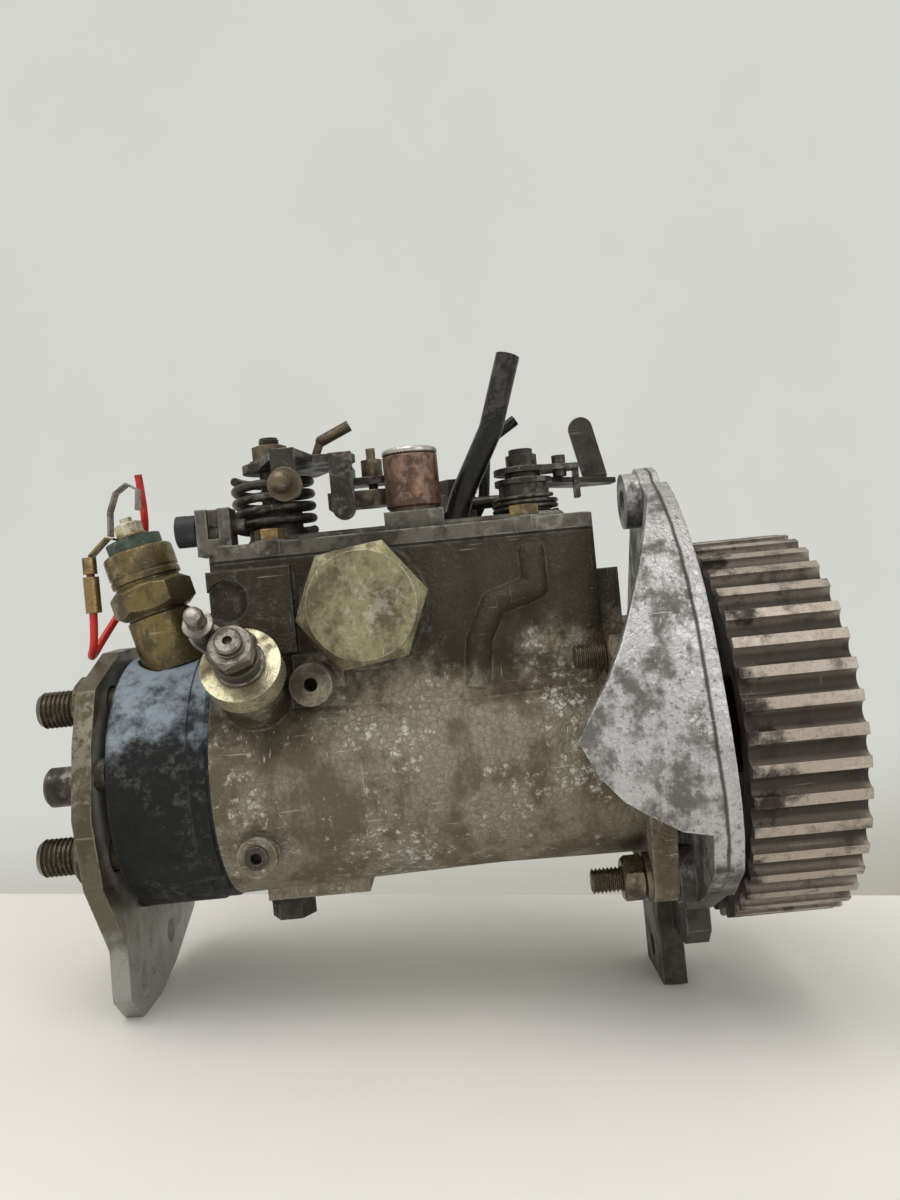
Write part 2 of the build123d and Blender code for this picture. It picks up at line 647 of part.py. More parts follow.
def high_pressure_outlets():
    solids = []
    for angle in OUTLET_ANGLES:
        y, z = polar(OUTLET_CIRCLE, angle)
        hex_x = REAR_PLATE_X - REAR_PLATE_T
        inner = HEAD_REAR + OUTLET_DEPTH - 1
        body = rod((inner, y, z), AFT, inner - OUTLET_TIP, OUTLET_R)
        body = chamfer(body.edges().sort_by(Axis.X)[0], 0.8)
        body += hexagon((hex_x, y, z), AFT, OUTLET_HEX_T, OUTLET_AF, turn=angle)
        cone = Pos(OUTLET_TIP, y, z) * Rot(0, 90, 0) * Cone(3.6, OUTLET_PASSAGE_R, 4.0,
                                                       align=(Align.CENTER, Align.CENTER, Align.MIN))
        passage = rod((OUTLET_TIP, y, z), FORE, HEAD_REAR + OUTLET_DEPTH - OUTLET_TIP, OUTLET_PASSAGE_R)
        solids.append(body - cone - passage)
    return solids


def end_plug():
    hex_x = REAR_PLATE_X - REAR_PLATE_T - 1.0
    nose_x = hex_x - END_PLUG_HEX_T
    body = rod((HEAD_REAR, 0, 0), AFT, HEAD_REAR - hex_x, END_PLUG_NOSE_R + 1.5)
    body += rod((HEAD_REAR, 0, 0), AFT, 2.4, LINER_R + 3.0)
    body += hexagon((hex_x, 0, 0), AFT, END_PLUG_HEX_T, END_PLUG_AF, turn=15.0)
    nose = rod((nose_x, 0, 0), AFT, nose_x - END_PLUG_TIP, END_PLUG_NOSE_R)
    return body + chamfer(nose.edges().sort_by(Axis.X)[0], 1.2)


def pump_liner():
    ring = Circle(LINER_R - 0.02) - Pos(0, LINER_OFFSET) * Circle(LINER_BORE_R)
    return across(ring, HEAD_REAR, LINER_LEN)


def vane_slots(width):
    """Two crossed slots for the four vanes."""
    reach = 2 * VANE_HUB_R + 4
    return Rectangle(reach, width) + Rectangle(width, reach)


def rotor():
    head_front = ROTOR_HEAD_X + ROTOR_HEAD_LEN
    body = across(Circle(ROTOR_HEAD_R), ROTOR_HEAD_X, ROTOR_HEAD_LEN)
    body += across(Circle(ROTOR_R), LINER_FRONT, ROTOR_HEAD_X - LINER_FRONT)
    half = TONGUE_T / 2 + RUN_FIT
    body -= block(SHAFT_REAR - TONGUE_LEN - CLEAR, head_front, -half, half, -SHAFT_R, SHAFT_R)
    body -= rod((ADV_X, 0, -ROTOR_HEAD_R - 1), UP, 2 * ROTOR_HEAD_R + 2, PLUNGER_R + 0.01)
    long = SHOE_HALF_L + 0.2
    wide = SHOE_HALF_W + RUN_FIT
    deep = ROTOR_HEAD_R + 1 - SHOE_FOOT
    for lift in (SHOE_FOOT, -ROTOR_HEAD_R - 1):
        body -= block(ADV_X - long, ADV_X + long, -wide, wide, lift, lift + deep)
    return body - rod((LINER_FRONT + 8, 0, 0), FORE, ADV_X - LINER_FRONT - 8, 1.5)


def transfer_pump():
    """Vane carrier and its four vanes, all drawn in far enough to pass the liner."""
    hub = across(Circle(VANE_HUB_R) - vane_slots(VANE_T), HEAD_REAR + CLEAR, LINER_LEN - 2 * CLEAR)
    hub += across(Circle(4.2), HEAD_REAR + CLEAR, LINER_LEN - CLEAR)
    reach = LINER_BORE_R - LINER_OFFSET - CLEAR
    half = VANE_T / 2 - 0.03
    vane = block(HEAD_REAR + 2 * CLEAR, LINER_FRONT - 2 * CLEAR, 4.8, reach, -half, half)
    return [hub] + [Rot(step * 90, 0, 0) * vane for step in range(4)]


def plungers():
    up = rod((ADV_X, 0, 2.0), UP, SHOE_FOOT - 2.0, PLUNGER_R)
    return [up, mirror(up, about=Plane.XY)]


def roller(sign):
    return rod((ADV_X - SHOE_HALF_L, 0, sign * ROLLER_AT), FORE, 2 * SHOE_HALF_L, ROLLER_R)


def rollers():
    """Each cam roller and the shoe that carries it."""
    cradle = rod((ADV_X - SHOE_HALF_L - 1, 0, ROLLER_AT), FORE, 2 * SHOE_HALF_L + 2, ROLLER_R + 0.03)
    shoe = block(ADV_X - SHOE_HALF_L, ADV_X + SHOE_HALF_L, -SHOE_HALF_W, SHOE_HALF_W,
                 SHOE_FOOT, ROLLER_AT - 0.4)
    shoe -= cradle
    return [roller(1), roller(-1), shoe, mirror(shoe, about=Plane.XY)]


# ---- housing -------------------------------------------------------------------------------
def ear_circles(radius):
    """One circle at each stud."""
    marks = Sketch()
    for angle in STUD_ANGLES:
        marks += Pos(*polar(STUD_CIRCLE, angle)) * Circle(radius)
    return marks


def gallery_rib():
    """Raised oil gallery on the near wall, a chain of round runs."""
    path = [(-35.7, 64.0), (-35.7, 53.0), (-49.0, 49.0), (-54.5, 38.0), (-56.0, 24.0)]
    solid = None
    for (xa, za), (xb, zb) in zip(path, path[1:]):
        start = (xa, -BOX_HALF_W + 1.0, za)
        run = rod(start, (xb - xa, 0, zb - za), hypot(xb - xa, zb - za), 4.2) + Pos(*start) * Sphere(4.2)
        solid = run if solid is None else solid + run
    return solid


def chamber():
    """Governor chamber under the cover: deep over the governor, shallow at both ends."""
    inner = BOX_HALF_W - BOX_WALL
    rear, front = BOX_REAR + BOX_WALL, BOX_FRONT - BOX_WALL
    deep = upward(rounded_box(CHAMBER_REAR, CAVITY_FRONT, inner, 4), 15, GASKET_Z)
    shallow = upward(rounded_box(rear, front, inner, 4), SHALLOW_Z, GASKET_Z)
    return deep + shallow


def advance_tube():
    outer = ADV_BORE_R + ADV_TUBE_WALL
    return rod((ADV_X, ADV_FACE_Y, ADV_Z), FAR, ADV_BLIND_Y + ADV_TUBE_WALL - ADV_FACE_Y, outer)


def pump_housing():
    body = turned([(JOINT_X, 0), (JOINT_X, BARREL_R_REAR), (-54.0, BARREL_R_FRONT - 0.7),
                   (FLANGE_REAR, BARREL_R_FRONT), (FLANGE_REAR, 0)])
    body += upward(rounded_box(BOX_REAR, BOX_FRONT, BOX_HALF_W, BOX_CORNER_R), 20, GASKET_Z - 20)
    body += block(BOX_FRONT - 12, FLANGE_REAR, -24, 24, 25, 57)
    body += across(make_hull((ear_circles(EAR_R) + Circle(FLANGE_CORE_R)).edges()), FLANGE_REAR, FLANGE_T)
    body += rod((0, 0, 0), FORE, PILOT_LEN, PILOT_R)
    body += rod((ADV_X, ADV_FACE_Y, ADV_Z), FAR, 22, ADV_BOSS_R)
    body += rod((LUG_X, LUG_Y, LUG_Z), FAR, 28, LUG_R)
    body += block(LUG_X - LUG_R, ADV_X - 8, ADV_FACE_Y, -24.0, LUG_Z - 2, LUG_Z + 9)
    body += rod((BLEED_X, BLEED_FACE_Y, BLEED_Z), FAR, 14, BLEED_BOSS_R)
    body += rod(spot(SIDE_FACE, SIDE_AXIS, -SIDE_CAP_T), SIDE_INWARD, 22, SIDE_BOSS_R)
    body += block(PAD_X[0], PAD_X[1], -12, 12, PAD_Z, -36)
    body += gallery_rib()
    body += rear_block()
    body -= upward(rounded_box(BOX_REAR, BOX_FRONT, 60, 1), GASKET_Z, 20)
    body -= across(Circle(CAVITY_R), JOINT_X, CAVITY_FRONT - JOINT_X)
    body -= chamber()
    body += advance_tube()
    body -= rod((ADV_X, ADV_FACE_Y, ADV_Z), FAR, ADV_BLIND_Y - ADV_FACE_Y, ADV_BORE_R)
    body -= rod((ADV_X, ADV_FACE_Y, ADV_Z), FAR, PLUG_SPIGOT, ADV_BORE_R + 1.5)
    body -= block(ADV_X - 4.4, ADV_X + 4.4, -PIN_SWING - 4.4, 4.4, 34, ADV_Z - ADV_BORE_R + 3)
    body -= across(Circle(BUSH_R), CAVITY_FRONT, PILOT_LEN - CAVITY_FRONT)
    body -= across(Circle(SEAL_R), PILOT_LEN - 2 * SEAL_T - 4, 2 * SEAL_T + 4)
    body -= across(ear_circles(STUD_R + HOLE_CLEAR), FLANGE_REAR, FLANGE_T)
    body -= rod((METERING_X, METERING_Y, 20), UP, 40, METERING_R + RUN_FIT)
    body -= arm_pin()
    body -= rod((LUG_X, LUG_Y, LUG_Z), FAR, 9, LUG_HOLE_R)
    body -= rod((BLEED_X, BLEED_FACE_Y - 1.2, BLEED_Z), FAR, 8, BLEED_SCREW_R)
    body -= rod(SIDE_FACE, SIDE_INWARD, SIDE_CAP_T + 14, SIDE_SHAFT_R + RUN_FIT)
    body -= pad_bolt()
    body -= inlet_union()
    for x, y in COVER_SCREWS:
        body -= rod((x, y, GASKET_Z), DOWN, 12, COVER_SCREW_R)
    for angle in HEAD_BOLT_ANGLES:
        y, z = polar(HEAD_BOLT_CIRCLE, angle)
        body -= rod((JOINT_X, y, z), FORE, 12, HEAD_BOLT_R)
    return body


def rear_block():
    """Thick near corner beside the head, with its round recess."""
    body = block(BLOCK_X[0], BLOCK_X[1], BLOCK_Y, -BOX_HALF_W + 4, 40, 67)
    return body - rod((RECESS_X, BLOCK_Y, RECESS_Z), FAR, 2.6, RECESS_R)


def governor_cover():
    foot = GASKET_Z + GASKET_T
    top = foot + COVER_FLANGE_T
    body = upward(rounded_box(BOX_REAR, BOX_FRONT, BOX_HALF_W, BOX_CORNER_R), foot, COVER_FLANGE_T)
    dome = upward(rounded_box(DOME_REAR, DOME_FRONT, DOME_HALF_W, 8), foot, DOME_TOP - foot)
    body += fillet(dome.edges().group_by(Axis.Z)[-1], 2.0)
    body += block(CAP_X - 9.5, CAP_X + 9.5, CAP_Y - 9.5, CAP_Y + 9.5, foot, CAP_FOOT)
    body += rod((THROTTLE_X, THROTTLE_Y, foot), UP, THROTTLE_BOSS_TOP - foot, 9.0)
    body += rod((IDLE_X, IDLE_Y, foot), UP, IDLE_BOSS_TOP - foot, 8.0)
    body += rod((*VENT, foot), UP, VENT_BOSS_TOP - foot, 6.8)
    for x, y in COVER_SCREWS:
        body += rod((x, y, foot), UP, COVER_FLANGE_T + 0.6, 6.4)
    body += stop_lug()
    inner = DOME_HALF_W - DOME_WALL
    hollow = rounded_box(DOME_REAR + DOME_WALL, DOME_FRONT - DOME_WALL, inner, 5)
    body -= upward(hollow, foot, DOME_TOP - DOME_WALL - foot)
    for x, y in COVER_SCREWS:
        body -= rod((x, y, foot - 1), UP, 12, COVER_SCREW_R + HOLE_CLEAR)
    for x, y in ((THROTTLE_X, THROTTLE_Y), (IDLE_X, IDLE_Y)):
        body -= rod((x, y, foot - 1), UP, 20, LEVER_SHAFT_R + RUN_FIT)
    body -= swept(PIPE_BENDS, 12, Circle(PIPE_R))
    body -= swept(VENT_BENDS, 6, Circle(VENT_PIPE_R))
    for piece in adjusting_screws() + [vent_bolt()]:
        body -= piece
    return body


def stop_lug():
    x0, x1 = STOP_LUG_X
    lug = block(x0, x1, STOP_LUG_Y - 5, STOP_LUG_Y + 5, GASKET_Z + GASKET_T + 2, STOP_LUG_TOP)
    return lug - block(x0 + 3.6, x1 - 3.6, STOP_LUG_Y - 6, STOP_LUG_Y - 2.5, GASKET_Z + 8, STOP_LUG_TOP + 1)


def cover_gasket():
    ring = rounded_box(BOX_REAR, BOX_FRONT, BOX_HALF_W, BOX_CORNER_R)
    ring -= rounded_box(BOX_REAR + BOX_WALL, BOX_FRONT - BOX_WALL, BOX_HALF_W - BOX_WALL - 3, 4)
    gasket = upward(ring, GASKET_Z, GASKET_T)
    for x, y in COVER_SCREWS:
        gasket -= rod((x, y, GASKET_Z - 1), UP, 3, COVER_SCREW_R + HOLE_CLEAR)
    return gasket


def cover_screws():
    seat = GASKET_Z + GASKET_T + COVER_FLANGE_T + 0.6
    solids = []
    for x, y in COVER_SCREWS:
        shank = rod((x, y, GASKET_Z - 12), UP, seat - GASKET_Z + 12, COVER_SCREW_R)
        solids.append(shank + hexagon((x, y, seat), UP, 3.6, 9.0, turn=x))
    return solids


def shaft_bush():
    return tube((CAVITY_FRONT, 0, 0), FORE, BUSH_LEN, BUSH_R - 0.02, SHAFT_R + RUN_FIT)


def shaft_seals():
    x = PILOT_LEN - 2 * SEAL_T - 3
    starts = [x + n * (SEAL_T + 1) for n in range(2)]
    return [tube((start, 0, 0), FORE, SEAL_T, SEAL_R - 0.02, SHAFT_R + RUN_FIT) for start in starts]


def bleed_screw():
    body = rod((BLEED_X, BLEED_FACE_Y - 1.2, BLEED_Z), FAR, 8, BLEED_SCREW_R)
    return body - rod((BLEED_X, BLEED_FACE_Y - 1.2, BLEED_Z), FAR, 4, 1.8)


def pad_bolt():
    x = PAD_X[0] + 6.0
    washer = rod((x, 0, PAD_Z), DOWN, 3.5, 7.5)
    return washer + hexagon((x, 0, PAD_Z - 3.5), DOWN, 5.0, 13.0) + rod((x, 0, PAD_Z), UP, 6.0, 3.0)


def vent_bolt():
    return hexagon((*VENT, VENT_BOSS_TOP), UP, 5.0, VENT_AF, 10.0) + rod((*VENT, VENT_BOSS_TOP), DOWN, 8, 4.0)


def inlet_union():
    """Fuel inlet on the far side of the head end."""
    seat = (INLET_X, BARREL_R_REAR, INLET_Z)
    shank = rod(spot(seat, FAR, -INLET_SHANK), FAR, INLET_SHANK + INLET_HEX_OUT, 6.0)
    return shank + hexagon(seat, FAR, INLET_HEX_OUT, 17.0)


def fuel_inlet():
    tip = (INLET_X, BARREL_R_REAR + INLET_HEX_OUT, INLET_Z)
    stub = rod(tip, FAR, 16, 5.0) + tube(spot(tip, FAR, 12), FAR, 2.4, 5.2, 4.0)
    return inlet_union() + stub - rod(spot(tip, FAR, -INLET_HEX_OUT - INLET_SHANK + 2), FAR, 60, 3.2)


# ---- front bracket -------------------------------------------------------------------------
NEAR_RIM = [(-8.9, 84.0), (-24.3, 74.0), (-35.5, 62.5), (-46.1, 48.0), (-52.6, 34.0),
            (-57.7, 18.3), (-62.2, 1.7), (-64.2, -12.0), (-63.6, -23.5)]
WEB_EDGE = [(9.0, 90.0), (7.0, 84.0), (-3.3, 58.0), (-8.5, 46.0), (-13.4, 34.6), (-19.1, 24.0), (-25.6, 14.5),
            (-29.9, 8.0), (-24.9, -2.5), (-18.9, -9.5), (-12.4, -14.0), (-3.2, -19.5), (6.1, -21.5),
            (13.6, -24.0), (20.0, -24.0), (20.0, 90.0)]


def offset_chain(points, distance):
    """Move a chain of points to its left by a distance."""
    moved = []
    for i, (y, z) in enumerate(points):
        ya, za = points[max(i - 1, 0)]
        yb, zb = points[min(i + 1, len(points) - 1)]
        length = hypot(yb - ya, zb - za)
        moved.append((y - (zb - za) / length * distance, z + (yb - ya) / length * distance))
    return moved


def bracket_web():
    """Curved near wall of the bracket, cut to its swept rear edge."""
    inner = offset_chain(NEAR_RIM, BRACKET_WEB_T)
    face = make_face([Spline(*NEAR_RIM), Line(NEAR_RIM[-1], inner[-1]),
                      Spline(*inner[::-1]), Line(inner[0], NEAR_RIM[0])])
    wall = across(face, -32.0, 32.0 + BRACKET_RIM_FRONT)
    return wall & sideways(outline(WEB_EDGE), -80, 90)


def front_bracket():
    far = [(-60.5, -33.0), (-46.0, -44.0), (-24.0, -54.5), (-12.0, -58.0), (12.0, -60.0), (34.0, -52.0),
           (46.0, -30.0), (58.0, -19.0), (73.0, -10.0), (73.0, 2.0), (62.0, 10.0), (42.0, 40.0), (22.0, 68.0),
           (13.0, 82.0), (9.0, 88.5), (2.0, 90.5), (-5.0, 88.0)]
    body = across(outline(NEAR_RIM + far), BRACKET_PAD, BRACKET_T - BRACKET_PAD)
    body += rod((0, 0, 0), FORE, BRACKET_T, BRACKET_HUB_R)
    for angle in STUD_ANGLES:
        body += rod((0, *polar(STUD_CIRCLE, angle)), FORE, BRACKET_T, EAR_R + 1)
    for y, z in (TOP_HOLE, SIDE_HOLE):
        body += rod((0, y, z), FORE, BRACKET_T, 9.5)
    near_y, far_y = BRACKET_FOOT_Y
    leg = [(near_y, -48.0), (near_y, BRACKET_FOOT_Z), (far_y, BRACKET_FOOT_Z), (far_y, -48.0)]
    body += across(outline(leg), 0, BRACKET_FOOT_T)
    knee = [(-12.0, -48.0), (-12.0, -66.0), (-6.0, -72.0), (36.0, -72.0), (42.0, -48.0)]
    body += across(outline(knee), BRACKET_FOOT_T - 3.0, BRACKET_RIM_FRONT - BRACKET_FOOT_T + 3.0)
    body += bracket_web()
    rim = [(y, z) for y, z in NEAR_RIM] + [(-60.5, -33.0), (-46.0, -44.0), (-42.0, -38.0), (-55.0, -28.0)]
    rim += offset_chain(NEAR_RIM, 7.0)[::-1]
    body += across(outline(rim), BRACKET_PAD, BRACKET_RIM_FRONT - BRACKET_PAD)
    body -= rod((0, 0, 0), FORE, 40, PILOT_R + 0.05)
    body -= across(ear_circles(STUD_R), 0, BRACKET_T - 1.5)
    for y, z in (TOP_HOLE, SIDE_HOLE, FOOT_HOLE):
        body -= rod((-1, y, z), FORE, 40, BRACKET_HOLE_R)
    return body


def bracket_studs():
    length = FLANGE_T + STUD_REAR + BRACKET_T - 1.5
    return [rod((FLANGE_REAR - STUD_REAR, *polar(STUD_CIRCLE, a)), FORE, length, STUD_R) for a in STUD_ANGLES]


def stud_nuts():
    solids = []
    for angle in STUD_ANGLES:
        y, z = polar(STUD_CIRCLE, angle)
        solids.append(tube((FLANGE_REAR, y, z), AFT, STUD_WASHER_T, STUD_WASHER_R, STUD_R))
        seat = (FLANGE_REAR - STUD_WASHER_T, y, z)
        solids.append(hexagon(seat, AFT, STUD_NUT_T, STUD_NUT_AF, angle, STUD_R))
    return solids


# ---- rear support plate --------------------------------------------------------------------
def rear_bracket():
    edge = [(-6.7, 44.7), (-32.6, 34.1), (-40.2, 18.0), (-45.8, -3.7), (-41.7, -26.0), (-25.8, -49.9),
            (-26.8, -66.0), (-17.0, REAR_FOOT_Z), (2.0, REAR_FOOT_Z), (22.3, -70.5), (51.4, -59.0),
            (54.0, -30.0), (46.0, 12.0), (30.0, 36.0), (10.0, 45.5)]
    plate = across(outline(edge, 3.0), REAR_PLATE_X - REAR_PLATE_T, REAR_PLATE_T)
    for angle in OUTLET_ANGLES:
        plate -= rod((REAR_PLATE_X - 10, *polar(OUTLET_CIRCLE, angle)), FORE, 20, OUTLET_R + HOLE_CLEAR)
    plate -= rod((REAR_PLATE_X - 10, 0, 0), FORE, 20, END_PLUG_NOSE_R + 1.5 + HOLE_CLEAR)
    plate -= rod((REAR_PLATE_X - 10, *REAR_HOLE), FORE, 20, REAR_HOLE_R)
    for y, z in (REAR_SLOT_TOP, REAR_SLOT_END):
        plate -= rod((REAR_PLATE_X - 10, y, z), FORE, 20, REAR_SLOT_R)
    (ya, za), (yb, zb) = REAR_SLOT_TOP, REAR_SLOT_END
    return plate - block(REAR_PLATE_X - 10, REAR_PLATE_X + 10, (ya + yb) / 2 - 3, (ya + yb) / 2 + 3, zb, za)


# ---- levers on the cover -------------------------------------------------------------------
def throttle_shaft():
    foot = INNER_Z - 2.0
    shaft = rod((THROTTLE_X, THROTTLE_Y, foot), UP, THROTTLE_PLATE_Z - foot, LEVER_SHAFT_R)
    stud = rod((THROTTLE_X, THROTTLE_Y, THROTTLE_PLATE_Z), UP, THROTTLE_STUD_TOP - THROTTLE_PLATE_Z, 3.0)
    lever = SlotOverall(INNER_REACH + 7.0, 7.0) - Pos(INNER_REACH / 2, 0) * Circle(LINK_R + 0.2)
    lever = Pos(THROTTLE_X, THROTTLE_Y) * Rot(0, 0, 90 - INNER_LEAN) * Pos(INNER_REACH / 2, 0) * lever
    return shaft + stud + upward(lever, INNER_Z, 2.0)


def throttle_lever():
    """Bent plate with the ball's tab towards the near side and the stop tab to the front."""
    z, t = THROTTLE_PLATE_Z, THROTTLE_PLATE_T
    flat = Pos(THROTTLE_X, THROTTLE_Y) * Circle(9.5)
    flat += outline([(-122.0, -16.0), (-112.5, -40.0), (-105.0, -40.0), (-102.0, -24.0), (-90.0, -22.0),
                     (-89.0, -16.0), (-100.0, 2.0), (-106.0, 12.0), (-112.5, 10.0), (-116.0, -2.0)])
    plate = upward(flat, z, t)
    plate += block(-97.0, -89.6, -22.0 - t, -22.0, 84.0, z)
    plate += rod((-93.3, -22.0 - t, 84.0), FAR, t, 3.7)
    plate += block(-97.0, -89.6, -22.0 - t, -19.0, z - 1.0, z + t)
    plate += block(-112.5, -105.0, -42.0, -42.0 + t, BALL_Z, z + t)
    plate += rod((BALL_X, -42.0, BALL_Z), FAR, t, BALL_TAB_R)
    plate -= rod((BALL_X, -43.0, BALL_Z), FAR, 5, 2.5)
    plate += block(-93.0, -83.0, -8.0, 2.0, z - 6.5, z - 4.0) + block(-93.5, -91.0, -16.0, 2.0, z - 6.5, z)
    plate += Pos(-83.0, -3.0, z - 5.25) * Cylinder(5.0, 2.5)
    plate -= rod((-84.8, -3.0, z - 8), UP, 8, 1.6)
    return plate - rod((THROTTLE_X, THROTTLE_Y, z - 1), UP, 6, 3.0)


def throttle_fittings():
    """Ball pin and washer, plastic link end and its pin, and the bent pipe end."""
    z = THROTTLE_PLATE_Z
    shank = rod((BALL_X, -38.4, BALL_Z), NEAR, 9.0, 2.5) + Pos(BALL_X, -49.0, BALL_Z) * Sphere(3.6)
    washer = tube((BALL_X, -42.0, BALL_Z), NEAR, 1.4, 5.2, 2.5)
    link_end = tube((-84.8, -3.0, z - 4.0), UP, 6.0, 3.6, 1.6)
    pin = rod((-84.8, -3.0, z - 8.5), UP, 14.5, 1.6)
    lower = block(-100.0, -84.0, -9.0, 1.0, z - 14.0, z - 8.5) + rod((-84.0, -4.0, z - 14.0), UP, 5.5, 5.0)
    base = z + THROTTLE_PLATE_T
    nut = rod((-110.5, 7.0, base), UP, 4.6, 3.2)
    bent = rod((-106.5, 8.0, base + 0.7), (4.0, 0, 9.5), 9.6, 1.5)
    bend = (-102.5, 8.0, base + 9.5)
    thick = rod(bend, (10.5, 0, 4.6), 11.4, 2.0) + Pos(*bend) * Sphere(2.0)
    return [shank, washer, link_end, pin, lower, nut, bent + thick]


def throttle_spring():
    low, high = COIL_Z
    pitch = (high - low) / COIL_TURNS
    return coil((THROTTLE_X, THROTTLE_Y, low), COIL_R, COIL_WIRE_R, pitch, COIL_TURNS)


def throttle_nut():
    base = THROTTLE_PLATE_Z + THROTTLE_PLATE_T
    at = (THROTTLE_X, THROTTLE_Y, base)
    dish = tube(at, UP, 1.2, 7.0, 3.0)
    return [dish, hexagon(spot(at, UP, 1.2), UP, 5.0, 10.0, 12.0, 3.0)]


def idle_lever():
    """Both plates on their brass hub, with the upright tongue and the hook tab."""
    z, t = IDLE_PLATE_Z, IDLE_PLATE_T
    at = (IDLE_X, IDLE_Y)
    hub = rod((*at, IDLE_BOSS_TOP + CLEAR), UP, z - IDLE_BOSS_TOP - CLEAR, 8.4)
    hub += rod((*at, GASKET_Z - 1), UP, IDLE_TOP - GASKET_Z + 1, LEVER_SHAFT_R)
    hub += rod((*at, IDLE_TOP_PLATE_Z + t), UP, 4.4, 5.2)
    lower = Pos(*at) * Circle(9.6) + outline([(-34.0, -17.0), (-16.0, -2.0), (0.0, 10.0), (-1.0, 17.0),
                                               (-14.0, 17.0), (-36.0, 0.0)])
    hub += upward(lower, z, t)
    tongue = Pos(-8.2, z + 12.2) * SlotOverall(26.0, 8.6, 102)
    hub += sideways(tongue & Pos(-8.2, z + 22) * Rectangle(30, 44), 15.2, t)
    upper = Pos(*at) * Circle(9.6) + outline([(-36.0, -17.6), (-15.6, -12.0), (-15.6, -5.0), (-34.0, 1.0)])
    hub += upward(upper, IDLE_TOP_PLATE_Z, t) + rod((*at, z), UP, IDLE_TOP_PLATE_Z - z, 6.0)
    hub += block(-17.4, -15.6, -11.0, -6.0, 81.7, IDLE_TOP_PLATE_Z + t)
    return hub + rod((-21.8, -9.0, IDLE_TOP_PLATE_Z - 2), UP, 7.0, 2.3)


def idle_spring():
    return coil((IDLE_X, IDLE_Y, DOME_TOP + IDLE_WIRE_R + 0.1), IDLE_COIL_R, IDLE_WIRE_R, 1.65, 2.9)


# ---- lever on the side ---------------------------------------------------------------------
def side_plane(lift):
    """Plane square to the side lever's axis, a distance out from its face."""
    return Plane(origin=spot(SIDE_FACE, SIDE_AXIS, lift), x_dir=FORE, z_dir=SIDE_AXIS)


def side_cap():
    shaft_hole = rod(SIDE_FACE, SIDE_INWARD, 9, SIDE_SHAFT_R + RUN_FIT)
    return rod(SIDE_FACE, SIDE_INWARD, SIDE_CAP_T, SIDE_CAP_R) - shaft_hole


def side_lever():
    """Shaft with its strip, washers and nut."""
    shaft = rod(spot(SIDE_FACE, SIDE_AXIS, 15.5), SIDE_INWARD, 15.5 + SIDE_CAP_T + 13, SIDE_SHAFT_R)
    shaft -= rod(spot(SIDE_FACE, SIDE_AXIS, 15.5), SIDE_INWARD, 1.6, 1.4)
    shaft += extrude(side_plane(CLEAR) * Circle(7.4), amount=1.6)
    shaft += extrude(side_plane(1.6) * Circle(6.0), amount=4.0)
    width = 8.6
    middle = Pos(*[c / 2 for c in SIDE_PIN])
    strip = middle * Rot(0, 0, SIDE_PIN_TURN) * SlotOverall(hypot(*SIDE_PIN) + width, width)
    shaft += extrude(side_plane(5.4) * strip, amount=2.4)
    nut = extrude(side_plane(7.8) * (Rot(0, 0, 20) * RegularPolygon(6.5, 6, major_radius=False)), amount=5.0)
    return shaft + nut - extrude(side_plane(5.0) * Pos(*SIDE_PIN) * Circle(2.75), amount=4)


def side_pin():
    pin = extrude(side_plane(5.4) * Pos(*SIDE_PIN) * Circle(2.75), amount=14.8)
    collar = extrude(side_plane(13.0) * Pos(*SIDE_PIN) * Circle(4.65), amount=1.4)
    return pin + collar + extrude(side_plane(7.8) * Pos(*SIDE_PIN) * Circle(3.4), amount=5.2)


# ---- shut-off solenoid and its wire --------------------------------------------------------
def along_solenoid(distance):
    return spot(SOLENOID_BASE, SOLENOID_AXIS, distance)


def shutoff_solenoid():
    low, high = SOLENOID_HEX
    body = rod(SOLENOID_BASE, SOLENOID_AXIS, low, SOLENOID_BOSS_R)
    body += hexagon(along_solenoid(low), SOLENOID_AXIS, high - low, SOLENOID_AF, 8.0)
    body += rod(along_solenoid(high), SOLENOID_AXIS, SOLENOID_TOP - high, SOLENOID_R)
    return body + rod(along_solenoid(-5.5), SOLENOID_AXIS, 6, SOLENOID_NOSE_R - 0.05)


def solenoid_insulator():
    disc = rod(along_solenoid(SOLENOID_TOP), SOLENOID_AXIS, INSULATOR_TOP - SOLENOID_TOP, INSULATOR_R)
    return disc - rod(along_solenoid(SOLENOID_TOP), SOLENOID_AXIS, 9, TERMINAL_R)


def terminal_nut():
    stud = rod(along_solenoid(SOLENOID_TOP), SOLENOID_AXIS, TERMINAL_TOP - SOLENOID_TOP, TERMINAL_R)
    washer = rod(along_solenoid(INSULATOR_TOP), SOLENOID_AXIS, 0.8, 4.6)
    return stud + washer + hexagon(along_solenoid(INSULATOR_TOP + 1.6), SOLENOID_AXIS, 4.0, 8.0, 20.0)


def strip_run(points, width, thick, y):
    """Bent flat strip along (x, z) points, centred on y."""
    other_side = offset_chain(points, thick)[::-1]
    return sideways(outline(points + other_side), y - width / 2, width)


def terminal_clip():
    """Tag under the nut with its crimp, and the frayed sleeve round the wire."""
    tag = strip_run([(-171.95, 82.75), (-174.8, 83.4), (-178.0, 80.6), (-181.2, 77.6)], 5.0, 0.8, -10.0)
    tag += tube(along_solenoid(INSULATOR_TOP + 0.8), SOLENOID_AXIS, 0.8, 5.2, TERMINAL_R)
    crimp = tube((-180.9, WIRE_Y, 77.0), DOWN, 5.5, 2.3, WIRE_R)
    sleeve = tube((-180.9, WIRE_Y, 70.5), DOWN, 12.0, 2.6, WIRE_R + 0.25)
    return [tag, crimp, sleeve]


